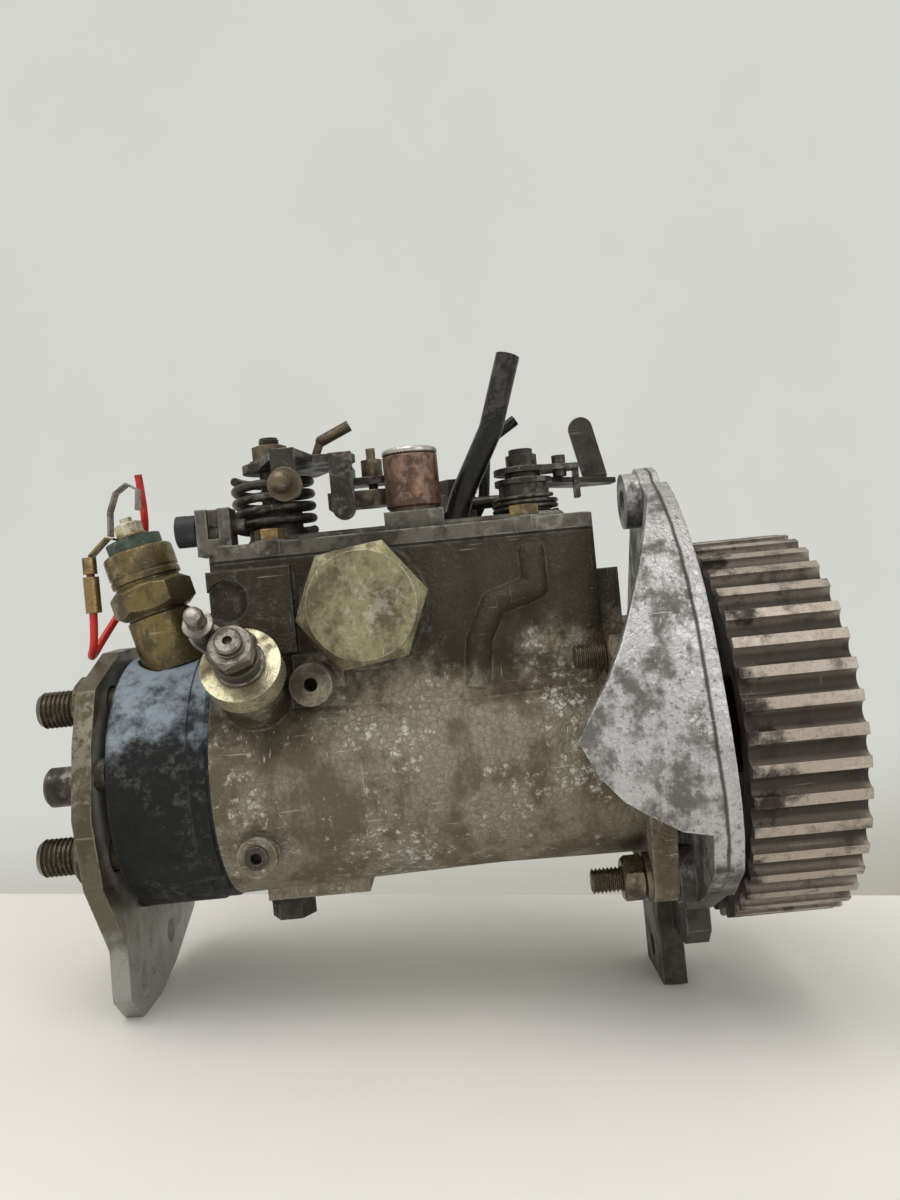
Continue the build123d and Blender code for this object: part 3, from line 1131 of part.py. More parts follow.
def wire_loop():
    path = [(-174.6, 83.8), (-174.0, 92.0), (-171.6, 98.0), (-167.8, 100.6), (-164.6, 98.6), (-165.4, 92.0)]
    return strip_run(path, 4.5, 0.8, -6.0)


def cord_path(points):
    """Straight runs joined by tangent arcs, each radius taken from its shorter run."""
    radii = []
    for before, at, after in zip(points, points[1:], points[2:]):
        run_in = Vector(*at) - Vector(*before)
        run_out = Vector(*after) - Vector(*at)
        half = radians(run_in.get_angle(run_out)) / 2
        radii.append(0.45 * min(run_in.length, run_out.length) * cos(half) / sin(half))
    print("solenoid_wire bend radii:", [round(r, 1) for r in radii])
    return FilletPolyline(*points, radius=radii)


def solenoid_wire():
    path = cord_path(WIRE_POINTS)
    print("solenoid_wire length: %.1f" % path.length)
    start = Plane(origin=path @ 0, z_dir=path % 0)
    return sweep(start * Circle(WIRE_R), path=path)


# ---- pieces on the cover -------------------------------------------------------------------
def adjusting_screws():
    x0, x1 = STOP_LUG_X
    stop = rod((x0 - 6.0, STOP_LUG_Y, STOP_SCREW_Z), FORE, x1 - x0 + 10, 2.5)
    speed = rod((CAP_X, CAP_Y, GASKET_Z + 4), UP, 18, 4.0)
    idle = rod((VENT[0] + 5.2, VENT[1] - 3.4, IDLE_SCREW_Z), FORE, 10.0, 2.2)
    return [stop, speed, idle]


def stop_screw_cap():
    x0 = STOP_LUG_X[0]
    cap = tube((x0 - 0.4, STOP_LUG_Y, STOP_SCREW_Z), AFT, 6.4, 5.1, 2.5)
    return cap - block(x0 - 3.6, x0, STOP_LUG_Y - 1.6, STOP_LUG_Y + 1.6, STOP_SCREW_Z + 3.0, STOP_SCREW_Z + 6)


def tamper_cap():
    neck = 4.4
    cup = rod((CAP_X, CAP_Y, CAP_FOOT), UP, neck, CAP_R - 0.9)
    cup += rod((CAP_X, CAP_Y, CAP_FOOT + neck), UP, 16.4, CAP_R)
    cup = chamfer(cup.edges().sort_by(Axis.Z)[-1], 0.8)
    return cup - rod((CAP_X, CAP_Y, CAP_FOOT), UP, 19.0, CAP_R - 1.8)


def return_pipes():
    """Black return pipe and the small vent pipe behind it."""
    big = swept(PIPE_BENDS, 12, Circle(PIPE_R) - Circle(PIPE_BORE_R))
    return [big, swept(VENT_BENDS, 6, Circle(VENT_PIPE_R) - Circle(VENT_PIPE_R - 0.8))]


# ---- one file per node ---------------------------------------------------------------------
def seals():
    return [head_seal()] + shaft_seals()


def housing_screws():
    return [bleed_screw(), pad_bolt(), vent_bolt()]


def collect(made):
    """One shape from a shape or a list of solids."""
    if not isinstance(made, list):
        made = [made]
    solids = [solid for shape in made for solid in shape.solids()]
    return solids[0] if len(solids) == 1 else Compound(children=solids)


NODES = {
    "pump_housing": pump_housing,
    "governor_cover": governor_cover,
    "cover_gasket": cover_gasket,
    "cover_screws": cover_screws,
    "hydraulic_head": hydraulic_head,
    "seals": seals,
    "head_bolts": head_bolts,
    "rear_bracket": rear_bracket,
    "high_pressure_outlets": high_pressure_outlets,
    "end_plug": end_plug,
    "shutoff_solenoid": shutoff_solenoid,
    "solenoid_insulator": solenoid_insulator,
    "terminal_nut": terminal_nut,
    "terminal_clip": terminal_clip,
    "wire_loop": wire_loop,
    "solenoid_wire": solenoid_wire,
    "adjusting_screws": adjusting_screws,
    "stop_screw_cap": stop_screw_cap,
    "tamper_cap": tamper_cap,
    "return_pipes": return_pipes,
    "advance_plug": advance_plug,
    "side_cap": side_cap,
    "housing_screws": housing_screws,
    "pump_liner": pump_liner,
    "shaft_bush": shaft_bush,
    "front_bracket": front_bracket,
    "bracket_studs": bracket_studs,
    "stud_nuts": stud_nuts,
    "fuel_inlet": fuel_inlet,
    "arm_pin": arm_pin,
    "drive_shaft": drive_shaft,
    "pulley": pulley,
    "pulley_key": key_solid,
    "pulley_nut": pulley_nut,
    "governor_cage": governor_cage,
    "rotor": rotor,
    "transfer_pump": transfer_pump,
    "plungers": plungers,
    "rollers": rollers,
    "thrust_sleeve": thrust_sleeve,
    "governor_arm": governor_arm,
    "governor_spring": governor_spring,
    "metering_valve": metering_valve,
    "metering_link": metering_link,
    "cam_ring": cam_ring,
    "advance_piston": advance_piston,
    "advance_spring": advance_spring,
    "throttle_shaft": throttle_shaft,
    "throttle_lever": throttle_lever,
    "throttle_fittings": throttle_fittings,
    "throttle_spring": throttle_spring,
    "throttle_nut": throttle_nut,
    "idle_lever": idle_lever,
    "idle_spring": idle_spring,
    "side_lever": side_lever,
    "side_pin": side_pin,
}

os.makedirs("parts", exist_ok=True)
for node, make in NODES.items():
    export_step(collect(make()), "parts/" + node + ".step")
for step in range(WEIGHTS):
    export_step(collect(governor_weight(step)), "parts/governor_weight_" + str(step + 1) + ".step")
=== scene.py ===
"""Looks for a rotary diesel injection pump: finishes, threads, springs, wire and studio."""
from __future__ import annotations

import logging
import math
from dataclasses import dataclass
from enum import Enum

import bmesh
import bpy
from bpy.types import Material, Object, ShaderNodeTree
from mathutils import Matrix, Vector


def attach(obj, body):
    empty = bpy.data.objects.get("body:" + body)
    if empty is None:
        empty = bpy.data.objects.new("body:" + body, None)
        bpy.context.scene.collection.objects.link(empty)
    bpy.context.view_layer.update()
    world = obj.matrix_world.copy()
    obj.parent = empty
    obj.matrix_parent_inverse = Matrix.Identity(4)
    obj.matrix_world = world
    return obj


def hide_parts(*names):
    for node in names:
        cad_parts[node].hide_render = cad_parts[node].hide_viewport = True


LOG = logging.getLogger("pump")
MM = 0.001
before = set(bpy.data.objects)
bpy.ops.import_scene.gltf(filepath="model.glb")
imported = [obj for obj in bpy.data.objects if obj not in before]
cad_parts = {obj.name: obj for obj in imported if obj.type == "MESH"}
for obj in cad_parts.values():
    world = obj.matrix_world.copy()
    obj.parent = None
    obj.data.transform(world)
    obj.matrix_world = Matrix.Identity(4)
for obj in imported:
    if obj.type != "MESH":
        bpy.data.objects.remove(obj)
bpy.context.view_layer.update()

NOWHERE = 9.0           # a place in metres that the pump never reaches

Point = tuple[float, float, float]
Colour = tuple[float, float, float]
Shade = tuple[float, float, float, float]      # a colour and how solid it is
Outline = list[tuple[float, float]]            # radius and height of each corner
Socket = bpy.types.NodeSocket


class Body(Enum):
    """Rigid bodies that pieces ride on."""

    PUMP = "pump"
    THROTTLE = "throttle"
    SIDE = "side"


class Metalness(Enum):
    """How much of a surface is bare metal."""

    BARE = 1.0
    DULL = 0.75
    COATED = 0.25
    NONE = 0.0


# ---- finishes ------------------------------------------------------------------------------
@dataclass(frozen=True)
class Finish:
    """One surface finish: its colours, gloss, relief, wear and where grime and painted shade gather."""

    name: str
    base: Colour
    stain: Colour
    worn: Colour
    metal: Metalness = Metalness.DULL
    rough: float = 0.34
    stain_scale: float = 60.0        # noise scales are per metre
    stain_amount: float = 0.5
    speck_scale: float = 900.0
    speck_amount: float = 0.4
    edge_wear: float = 0.5
    scratches: float = 0.35
    relief: float = 0.35
    round_edge: float = 0.4          # radius that edges look rounded to, in millimetres
    # The grime colour is also the colour of painted shade in corners, and past grime_and_shade_from on some
    # castings.
    grime_and_shade: Colour = (0.035, 0.028, 0.02)
    grime_and_shade_way: Point = (0.0, 0.0, 1.0)
    grime_and_shade_from: float = NOWHERE      # metres along the way in which grime and painted shade deepen
    grime_and_shade_amount: float = 0.0
    # share of painted shade in corners and crevices, from ambient occlusion
    crevice_shade: float = 0.8
    radial: tuple[float, float] = (-2.0, -1.0)      # darkening towards the grime colour inside the first radius fades out by the second, in metres
    scuffs: float = 0.25
    crackle: float = 0.0
    gloss: float = 0.4
    rim_from: float = NOWHERE        # metres along the shaft


# The upper housing, above about 33 mm, is painted near-black: part grime, part painted shade under the plug
# and by the lever.
CAST_HOUSING = Finish(
    "grease_stained_casting", (0.25, 0.226, 0.168), (0.115, 0.092, 0.056), (0.60, 0.59, 0.54),
    metal=Metalness.COATED, rough=0.5, stain_scale=34.0, stain_amount=0.54, speck_scale=620.0,
    speck_amount=0.65, edge_wear=0.6, scratches=0.75, relief=0.85, round_edge=1.1,
    grime_and_shade=(0.020, 0.0155, 0.009), grime_and_shade_way=(-0.10, 0.0, 0.99), grime_and_shade_from=0.033, grime_and_shade_amount=0.88,
    scuffs=0.8, crackle=0.8, gloss=0.22)
CAST_COVER = Finish(
    "dirty_cover_casting", (0.12, 0.112, 0.092), (0.04, 0.034, 0.025), (0.46, 0.45, 0.42),
    metal=Metalness.COATED, rough=0.5, speck_scale=620.0, speck_amount=0.45, edge_wear=0.95, relief=0.5,
    round_edge=0.8, gloss=0.25)
# Below about 26 mm the bracket is painted dark brown: part dirt, part painted shade in its pocket and low
# down.
CAST_BRACKET = Finish(
    "bare_bracket_casting", (0.46, 0.46, 0.455), (0.10, 0.094, 0.08), (0.86, 0.86, 0.85), rough=0.42,
    stain_scale=74.0, stain_amount=0.51, speck_scale=520.0, speck_amount=0.75, edge_wear=0.95,
    scratches=0.5, relief=0.9, round_edge=0.9, grime_and_shade=(0.032, 0.026, 0.018), grime_and_shade_way=(0.12, 0.0, -1.0),
    grime_and_shade_from=0.026, grime_and_shade_amount=0.93, crevice_shade=0.4, scuffs=0.5, crackle=0.35, gloss=0.3, rim_from=0.009)
# Its grime colour is pale blue-grey, so the top, above about 30 mm, and its corners are painted lighter and
# bluer.
HEAD_PAINT = Finish(
    "black_head_coating", (0.0095, 0.0098, 0.0102), (0.007, 0.007, 0.007), (0.12, 0.12, 0.115),
    metal=Metalness.COATED, rough=0.5, stain_scale=70.0, stain_amount=0.4, speck_amount=0.5, edge_wear=0.6,
    relief=0.7, round_edge=0.7, grime_and_shade=(0.26, 0.315, 0.365), grime_and_shade_way=(0.0, -0.2, 0.97), grime_and_shade_from=0.030,
    grime_and_shade_amount=0.88, crevice_shade=0.3, scuffs=0.4, crackle=0.4, gloss=0.25)
RING_DIRT = Finish(
    "dirty_black_ring", (0.014, 0.013, 0.011), (0.05, 0.042, 0.03), (0.12, 0.11, 0.09),
    metal=Metalness.NONE, rough=0.6, stain_scale=90.0, speck_scale=800.0, gloss=0.2)
# The rear end is black with dirt; the tooth roots, inside about 60 mm radius, are also painted near-black.
PULLEY_STEEL = Finish(
    "sintered_pulley_steel", (0.42, 0.365, 0.305), (0.11, 0.095, 0.08), (0.64, 0.60, 0.55), rough=0.40,
    stain_scale=90.0, stain_amount=0.4, speck_amount=0.5, edge_wear=0.6, scratches=0.45, relief=0.4,
    round_edge=0.35, grime_and_shade=(0.024, 0.018, 0.013), grime_and_shade_way=(-1.0, 0.0, 0.0), grime_and_shade_from=-0.0215,
    grime_and_shade_amount=0.97, crevice_shade=0.6, radial=(0.0598, 0.0624), gloss=0.25)
DARK_STEEL = Finish(
    "oiled_dark_steel", (0.060, 0.054, 0.045), (0.018, 0.015, 0.012), (0.42, 0.39, 0.34), rough=0.38,
    stain_scale=110.0, edge_wear=0.75)
BROWN_STEEL = Finish(
    "brown_worn_steel", (0.16, 0.125, 0.08), (0.045, 0.033, 0.022), (0.46, 0.42, 0.34), rough=0.4,
    stain_scale=120.0, stain_amount=0.55, speck_amount=0.45, edge_wear=0.7)
BRIGHT_STEEL = Finish(
    "worn_bright_steel", (0.30, 0.285, 0.26), (0.10, 0.085, 0.065), (0.60, 0.58, 0.54),
    metal=Metalness.BARE, stain_scale=140.0, stain_amount=0.45)
# Its grime colour is pale grey, so the plate is painted lighter below about 46 mm under the axis.
PLATE_STEEL = Finish(
    "olive_zinc_plate", (0.125, 0.115, 0.078), (0.07, 0.06, 0.032), (0.56, 0.53, 0.42), rough=0.38,
    stain_scale=65.0, stain_amount=0.45, speck_scale=700.0, edge_wear=0.9, scratches=0.45, relief=0.3,
    round_edge=0.5, grime_and_shade=(0.36, 0.36, 0.34), grime_and_shade_way=(0.0, 0.0, -1.0), grime_and_shade_from=0.046,
    grime_and_shade_amount=0.75, gloss=0.3)
YELLOW_ZINC = Finish(
    "worn_yellow_zinc", (0.58, 0.54, 0.36), (0.16, 0.125, 0.065), (0.78, 0.76, 0.66), stain_scale=95.0,
    stain_amount=0.46, speck_scale=620.0, speck_amount=0.6, edge_wear=1.0, scratches=0.75, round_edge=0.45,
    crevice_shade=0.4)
PLUG_ZINC = Finish(
    "scuffed_plug_zinc", (0.29, 0.268, 0.16), (0.095, 0.074, 0.036), (0.74, 0.73, 0.64), rough=0.36,
    stain_scale=80.0, stain_amount=0.52, speck_scale=520.0, speck_amount=0.7, edge_wear=1.0,
    scratches=0.95, round_edge=0.5, crevice_shade=0.4)
OLD_BRASS = Finish(
    "old_brass", (0.30, 0.21, 0.09), (0.09, 0.06, 0.025), (0.60, 0.50, 0.28), metal=Metalness.BARE,
    rough=0.36, stain_scale=120.0, speck_scale=800.0)
SOLENOID_BODY = Finish(
    "solenoid_olive_brass", (0.19, 0.145, 0.058), (0.06, 0.046, 0.022), (0.52, 0.47, 0.31), rough=0.32,
    stain_scale=110.0, edge_wear=0.7)
COPPER = Finish(
    "tarnished_copper", (0.29, 0.155, 0.097), (0.07, 0.043, 0.031), (0.52, 0.38, 0.30),
    metal=Metalness.BARE, stain_scale=85.0, stain_amount=0.6, speck_scale=600.0, speck_amount=0.5,
    scratches=0.7)
THREAD_STEEL = Finish(
    "dark_threaded_steel", (0.17, 0.142, 0.095), (0.045, 0.035, 0.025), (0.52, 0.47, 0.36),
    metal=Metalness.BARE, rough=0.32, stain_scale=150.0, edge_wear=0.85, scratches=0.2, relief=0.25,
    round_edge=0.18)
LEVER_STEEL = Finish(
    "worn_lever_steel", (0.19, 0.18, 0.15), (0.06, 0.052, 0.038), (0.58, 0.55, 0.47), metal=Metalness.BARE,
    stain_scale=160.0, speck_amount=0.5, edge_wear=0.9, scratches=0.3, relief=0.3, round_edge=0.35)
RIM_STEEL = Finish(
    "crimped_silver_rim", (0.50, 0.49, 0.46), (0.16, 0.13, 0.11), (0.72, 0.70, 0.67), metal=Metalness.BARE,
    stain_scale=150.0, stain_amount=0.35, speck_scale=800.0)
BLACK_TUBE = Finish(
    "black_tube_paint", (0.0055, 0.0055, 0.005), (0.022, 0.019, 0.015), (0.14, 0.13, 0.11),
    metal=Metalness.NONE, stain_scale=130.0, stain_amount=0.32, speck_amount=0.3, scratches=0.3,
    relief=0.15, gloss=0.3)
BLACK_PLASTIC = Finish(
    "black_plastic", (0.016, 0.019, 0.021), (0.035, 0.034, 0.032), (0.11, 0.11, 0.10),
    metal=Metalness.NONE, rough=0.5, stain_scale=120.0, stain_amount=0.4, speck_scale=800.0, gloss=0.3)
GREEN_PLASTIC = Finish(
    "green_insulator", (0.06, 0.10, 0.073), (0.025, 0.035, 0.024), (0.20, 0.25, 0.20),
    metal=Metalness.NONE, rough=0.5, stain_scale=150.0, speck_scale=800.0, gloss=0.3)
RED_INSULATION = Finish(
    "red_wire_insulation", (0.58, 0.026, 0.02), (0.28, 0.02, 0.015), (0.75, 0.16, 0.12),
    metal=Metalness.NONE, rough=0.36, stain_scale=260.0, stain_amount=0.35, speck_amount=0.15,
    edge_wear=0.1, scratches=0.1, relief=0.1, round_edge=0.2)
SEALING = Finish(
    "dark_sealing", (0.02, 0.017, 0.014), (0.010, 0.009, 0.008), (0.07, 0.06, 0.05), metal=Metalness.NONE,
    rough=0.6, stain_scale=150.0, stain_amount=0.4, speck_amount=0.2, edge_wear=0.1, scratches=0.1,
    gloss=0.2)


class Nodes:
    """Short way to add and wire shader nodes in one tree."""

    def __init__(self, tree: ShaderNodeTree) -> None:
        """Keep the tree that new nodes go into."""
        self.tree = tree

    def fill(self, target: Socket, value: object) -> None:
        """Join a socket to an input, or set the input to a plain value.

        Args:
            target: The input.
            value: A socket or a value.
        """
        if isinstance(value, Socket):
            self.tree.links.new(value, target)
        else:
            target.default_value = value

    def add(self, kind: str, inputs: dict[int | str, object] | None = None,
            **settings: object) -> bpy.types.NodeOutputs:
        """Add one shader node, set its properties and fill its inputs.

        Args:
            kind: The node's type name, without its prefix.
            inputs: What fills each input, by its name or place.
            settings: Property values to set on it.

        Returns:
            The node's outputs.
        """
        node = self.tree.nodes.new("ShaderNode" + kind)
        for key, value in settings.items():
            setattr(node, key, value)
        for key, value in (inputs or {}).items():
            self.fill(node.inputs[key], value)
        return node.outputs

    def ramp(self, source: Socket, low: float, high: float) -> Socket:
        """Stretch a value so that low becomes 0 and high becomes 1."""
        inputs = {"Value": source, "From Min": low, "From Max": high}
        return self.add("MapRange", inputs, interpolation_type="SMOOTHSTEP")["Result"]

    def noise(self, where: Socket, scale: Socket | float, detail: float, roughness: float = 0.6) -> Socket:
        """Noise value at a place, with a scale, a number of octaves and the fine ones' strength."""
        inputs = {"Vector": where, "Scale": scale, "Detail": detail, "Roughness": roughness}
        return self.add("TexNoise", inputs)["Fac"]

    def maths(self, operation: str, first: Socket, second: Socket | float, clamp: bool = False) -> Socket:
        """Arithmetic on two values, clamped to between 0 and 1 if asked."""
        return self.add("Math", {0: first, 1: second}, operation=operation, use_clamp=clamp)[0]

    def add_up(self, first: Socket, second: Socket | float, clamp: bool = False) -> Socket:
        """Sum of two values."""
        return self.maths("ADD", first, second, clamp)

    def minus(self, first: Socket, second: Socket | float, clamp: bool = False) -> Socket:
        """First value less the second."""
        return self.maths("SUBTRACT", first, second, clamp)

    def times(self, first: Socket, second: Socket | float, clamp: bool = False) -> Socket:
        """Product of two values."""
        return self.maths("MULTIPLY", first, second, clamp)

    def largest(self, first: Socket, second: Socket, clamp: bool = False) -> Socket:
        """Larger of two values."""
        return self.maths("MAXIMUM", first, second, clamp)

    def one_less(self, value: Socket, share: float = 1.0) -> Socket:
        """One minus a share of a value."""
        return self.minus(self.times(value, -share), -1.0)

    def swing(self, value: Socket, middle: float, share: float) -> Socket:
        """Share of how far a value lies from a middle."""
        return self.times(self.minus(value, middle), share)

    def axes(self, where: Socket) -> bpy.types.NodeOutputs:
        """X, Y and Z of coordinates."""
        return self.add("SeparateXYZ", {0: where})

    def placed(self, where: Socket, turn: Point, stretch: Point) -> Socket:
        """Coordinates that are turned, in radians, and stretched."""
        return self.add("Mapping", {"Vector": where, "Rotation": turn, "Scale": stretch})[0]

    def dot(self, first: Socket, second: Socket) -> Socket:
        """Dot product of two vectors."""
        return self.add("VectorMath", {0: first, 1: second}, operation="DOT_PRODUCT")["Value"]

    def mix(self, factor: Socket, first: Socket | Shade, second: Socket | Shade) -> Socket:
        """Blend two colours by a factor."""
        return self.add("Mix", {0: factor, 6: first, 7: second}, data_type="RGBA")[2]

    def choose(self, factor: Socket, first: Socket, second: Socket) -> Socket:
        """Blend two shaders by a factor."""
        return self.add("MixShader", {0: factor, 1: first, 2: second})[0]


class WearGroup:
    """Shared group that lays stains, specks, scuffs, dirt, painted shade and worn edges over a base colour.
    """

    NAME = "stain_wear_and_grain"
    COLOURS = ("base", "stain", "worn", "grime_and_shade")
    VECTORS = ("grime_and_shade_way",)
    NUMBERS = ("stain_scale", "stain_amount", "speck_scale", "speck_amount", "edge_wear", "scratches",
               "rough", "grime_and_shade_from", "grime_and_shade_amount", "crevice_shade", "scuffs", "crackle", "rim_from")
    WORKED_OUT = ("metal", "round_edge", "radial_low", "radial_high")
    OUTPUTS = (("Colour", "Color"), ("Roughness", "Float"), ("Metallic", "Float"), ("Height", "Float"),
               ("Rounded", "Vector"))

    # Noises: scale per metre, octaves and roughness; each finish has its own scale for the first two.
    CLOUDS = (7.0, 0.68)
    SPECKS = (4.0, 0.75)
    STREAKS = (130.0, 5.0, 0.6)
    PALE_SPECKS = (310.0, 6.0, 0.8)
    RUBS = (24.0, 6.0, 0.62)
    RUB_GRAIN = (330.0, 5.0, 0.7)
    RIM_WAVER = (60.0, 3.0)
    EDGE_BREAKS = (210.0, 5.0, 0.7)
    SCRATCH_LINES = (52.0, 2.0, 0.5)
    SCRATCH_FIELDS = (38.0, 3.0, 0.6)
    CRACKLE_SCALE = 430.0
    CRACKLE_WAVER = (330.0, 0.0012)       # its scale and how far it bends the seams
    # Ways that coordinates are turned and stretched.
    DOWNWARD = ((0.0, 0.0, 0.0), (1.0, 1.0, 0.25))
    SCRATCH_WAYS = (((0.6, 0.42, 0.24), (1.0, 22.0, 22.0)), ((-0.9, -0.63, -0.36), (22.0, 22.0, 1.0)))
    # Spans over which a mask goes from nothing to full.
    STAIN_SPAN = (0.455, 0.575)
    DARK_SPECK_SPAN = (0.53, 0.68)
    PALE_SPECK_SPAN = (0.58, 0.72)
    SEAM_SPAN = (0.0, 0.16)
    RUB_SPAN = (0.27, 0.36)
    EDGE_SPAN = (0.008, 0.12)
    EDGE_BREAK_SPAN = (0.36, 0.60)
    SCRATCH_SPAN = (0.675, 0.72)
    SCRATCH_FIELD_SPAN = (0.46, 0.62)
    OPEN_SPAN = (0.25, 0.82)
    # Metres: the same spans, how far noise moves their borders, and how near a wall makes a corner that is
    # painted in shade.
    GRIME_AND_SHADE_SPAN = (-0.008, 0.012)
    RIM_SPAN = (-0.0004, 0.0010)
    GROOVE_SPAN = (0.0002, 0.0009)
    GRIME_AND_SHADE_RAGGED = 0.09
    RIM_RAGGED = 0.0012
    HOLLOW_REACH = 7.0 * MM
    # Shares that one layer leaves or takes of another.
    PATCH_OF = (0.7, 0.3)                 # cloud and streaks
    STAIN_SWING = -0.36
    STAIN_COVER = 0.92
    PALE_SPECK_COVER = 0.5
    SEAM_COVER = 0.45
    SEAM_UNRUBBED = 0.8
    RIM_UNSTAINED = 0.8
    GROOVE_DIRT_AND_SHADE = 0.9
    INNER_DARKENING = 0.93
    DIRT_AND_SHADE_UNWORN = 0.7
    STAIN_ROUGH = (0.35, 0.22)
    SPECK_ROUGH = (0.5, 0.35)
    BARED_SMOOTH = 0.12
    STAIN_UNMETAL = 0.6
    BARED_METAL = 0.5
    RELIEF = (0.7, 0.5, 0.25, 0.35)       # of specks and clouds up, of scratches and seams down

    def __init__(self) -> None:
        """Make the group's sockets and the noises that several masks share."""
        self.tree = bpy.data.node_groups.new(self.NAME, "ShaderNodeTree")
        sockets = self.tree.interface
        kinds = ((self.COLOURS, "Color"), (self.VECTORS, "Vector"), (self.NUMBERS + self.WORKED_OUT, "Float"))
        for names, kind in kinds:
            for name in names:
                sockets.new_socket(name, in_out="INPUT", socket_type="NodeSocket" + kind)
        for name, kind in self.OUTPUTS:
            sockets.new_socket(name, in_out="OUTPUT", socket_type="NodeSocket" + kind)
        self.n = Nodes(self.tree)
        self.given = self.tree.nodes.new("NodeGroupInput").outputs
        self.result = self.tree.nodes.new("NodeGroupOutput").inputs
        self.where = self.n.add("TexCoord")["Object"]
        self.cloud = self.n.noise(self.where, self.given["stain_scale"], *self.CLOUDS)
        self.speck = self.n.noise(self.where, self.given["speck_scale"], *self.SPECKS)

    def build(self) -> ShaderNodeTree:
        """Wire the masks, colours and relief together.

        Returns:
            The node group.
        """
        n, given = self.n, self.given
        rim, groove_dirt_and_shade = self.rim_masks()
        stain = self.stain_mask(rim)
        seam = self.crackle_mask()
        # Dirt and painted shade: past a plane, inside a radius, painted shade in corners, and the rim's
        # groove.
        dirt_and_shade = n.largest(self.grime_and_shade_mask(), groove_dirt_and_shade)
        scratch = self.scratch_mask()
        clear_of_dirt_and_shade = n.one_less(dirt_and_shade, self.DIRT_AND_SHADE_UNWORN)
        bared = n.times(n.largest(self.edge_mask(), scratch), clear_of_dirt_and_shade)
        colour = n.mix(dirt_and_shade, self.scuffed(self.stained(stain), seam), given["grime_and_shade"])
        n.fill(self.result["Colour"], n.mix(bared, colour, given["worn"]))
        rough = n.add_up(given["rough"], n.swing(stain, *self.STAIN_ROUGH))
        rough = n.add_up(rough, n.swing(self.speck, *self.SPECK_ROUGH))
        n.fill(self.result["Roughness"], n.minus(rough, n.times(bared, self.BARED_SMOOTH), True))
        metal = n.times(n.times(given["metal"], n.one_less(stain, self.STAIN_UNMETAL)), clear_of_dirt_and_shade)
        shine = n.times(n.times(bared, given["metal"]), self.BARED_METAL)
        n.fill(self.result["Metallic"], n.add_up(metal, shine, True))
        by_speck, by_cloud, by_scratch, by_seam = self.RELIEF
        height = n.add_up(n.times(self.speck, by_speck), n.times(self.cloud, by_cloud))
        height = n.minus(height, n.times(scratch, by_scratch))
        n.fill(self.result["Height"], n.minus(height, n.times(seam, by_seam)))
        return self.tree

    def stain_mask(self, rim: Socket) -> Socket:
        """Mask of dark stains in clouds and in streaks that run down.

        Args:
            rim: Where the surface is cleaner.

        Returns:
            The mask.
        """
        n = self.n
        streak = n.noise(n.placed(self.where, *self.DOWNWARD), *self.STREAKS)
        of_cloud, of_streak = self.PATCH_OF
        patch = n.add_up(n.times(self.cloud, of_cloud), n.times(streak, of_streak))
        patch = n.minus(patch, n.swing(self.given["stain_amount"], 0.5, self.STAIN_SWING))
        return n.times(n.ramp(patch, *self.STAIN_SPAN), n.one_less(rim, self.RIM_UNSTAINED))

    def stained(self, stain: Socket) -> Socket:
        """Base colour under its stains, pale specks and dark specks.

        Args:
            stain: The stains' mask.

        Returns:
            The colour.
        """
        n, given = self.n, self.given
        dark = n.times(n.ramp(self.speck, *self.DARK_SPECK_SPAN), given["speck_amount"])
        pale = n.ramp(n.noise(self.where, *self.PALE_SPECKS), *self.PALE_SPECK_SPAN)
        pale = n.times(pale, given["speck_amount"])
        colour = n.mix(n.times(stain, self.STAIN_COVER), given["base"], given["stain"])
        colour = n.mix(n.times(pale, self.PALE_SPECK_COVER), colour, given["worn"])
        return n.mix(dark, colour, given["stain"])

    def crackle_mask(self) -> Socket:
        """Mask of the fine wavy seams in a cast skin.

        Returns:
            The mask.
        """
        n = self.n
        scale, bend = self.CRACKLE_WAVER
        push = n.add("TexNoise", {"Vector": self.where, "Scale": scale})["Color"]
        wavy = n.add("MixRGB", {0: bend, 1: self.where, 2: push}, blend_type="LINEAR_LIGHT")[0]
        cell = n.add("TexVoronoi", {"Vector": wavy, "Scale": self.CRACKLE_SCALE}, feature="DISTANCE_TO_EDGE")
        return n.times(n.one_less(n.ramp(cell["Distance"], *self.SEAM_SPAN)), self.given["crackle"])

    def scuffed(self, colour: Socket, seam: Socket) -> Socket:
        """Colour with pale rubbed patches and darker seams.

        Args:
            colour: The colour below.
            seam: The crackle's mask, which the rubbing mostly skips.

        Returns:
            The colour.
        """
        n = self.n
        rub = n.times(n.noise(self.where, *self.RUBS), n.noise(self.where, *self.RUB_GRAIN))
        rub = n.times(n.ramp(rub, *self.RUB_SPAN), self.given["scuffs"])
        rub = n.times(rub, n.one_less(seam, self.SEAM_UNRUBBED))
        colour = n.mix(rub, colour, self.given["worn"])
        return n.mix(n.times(seam, self.SEAM_COVER), colour, self.given["stain"])

    def rim_masks(self) -> tuple[Socket, Socket]:
        """Masks of a cleaner machined rim in front of a place on the shaft, and of a dark line at its foot:
        the groove's dirt and painted shade.

        Returns:
            The rim's mask and the groove's.
        """
        n = self.n
        waver = n.swing(n.noise(self.where, *self.RIM_WAVER), 0.5, self.RIM_RAGGED)
        past = n.add_up(n.minus(n.axes(self.where)["X"], self.given["rim_from"]), waver)
        away = n.ramp(n.maths("ABSOLUTE", past, 0.0), *self.GROOVE_SPAN)
        # A dark line of dirt and painted shade is laid along the rim's foot.
        groove_dirt_and_shade = n.minus(n.times(away, -self.GROOVE_DIRT_AND_SHADE), -self.GROOVE_DIRT_AND_SHADE)
        return n.ramp(past, *self.RIM_SPAN), groove_dirt_and_shade

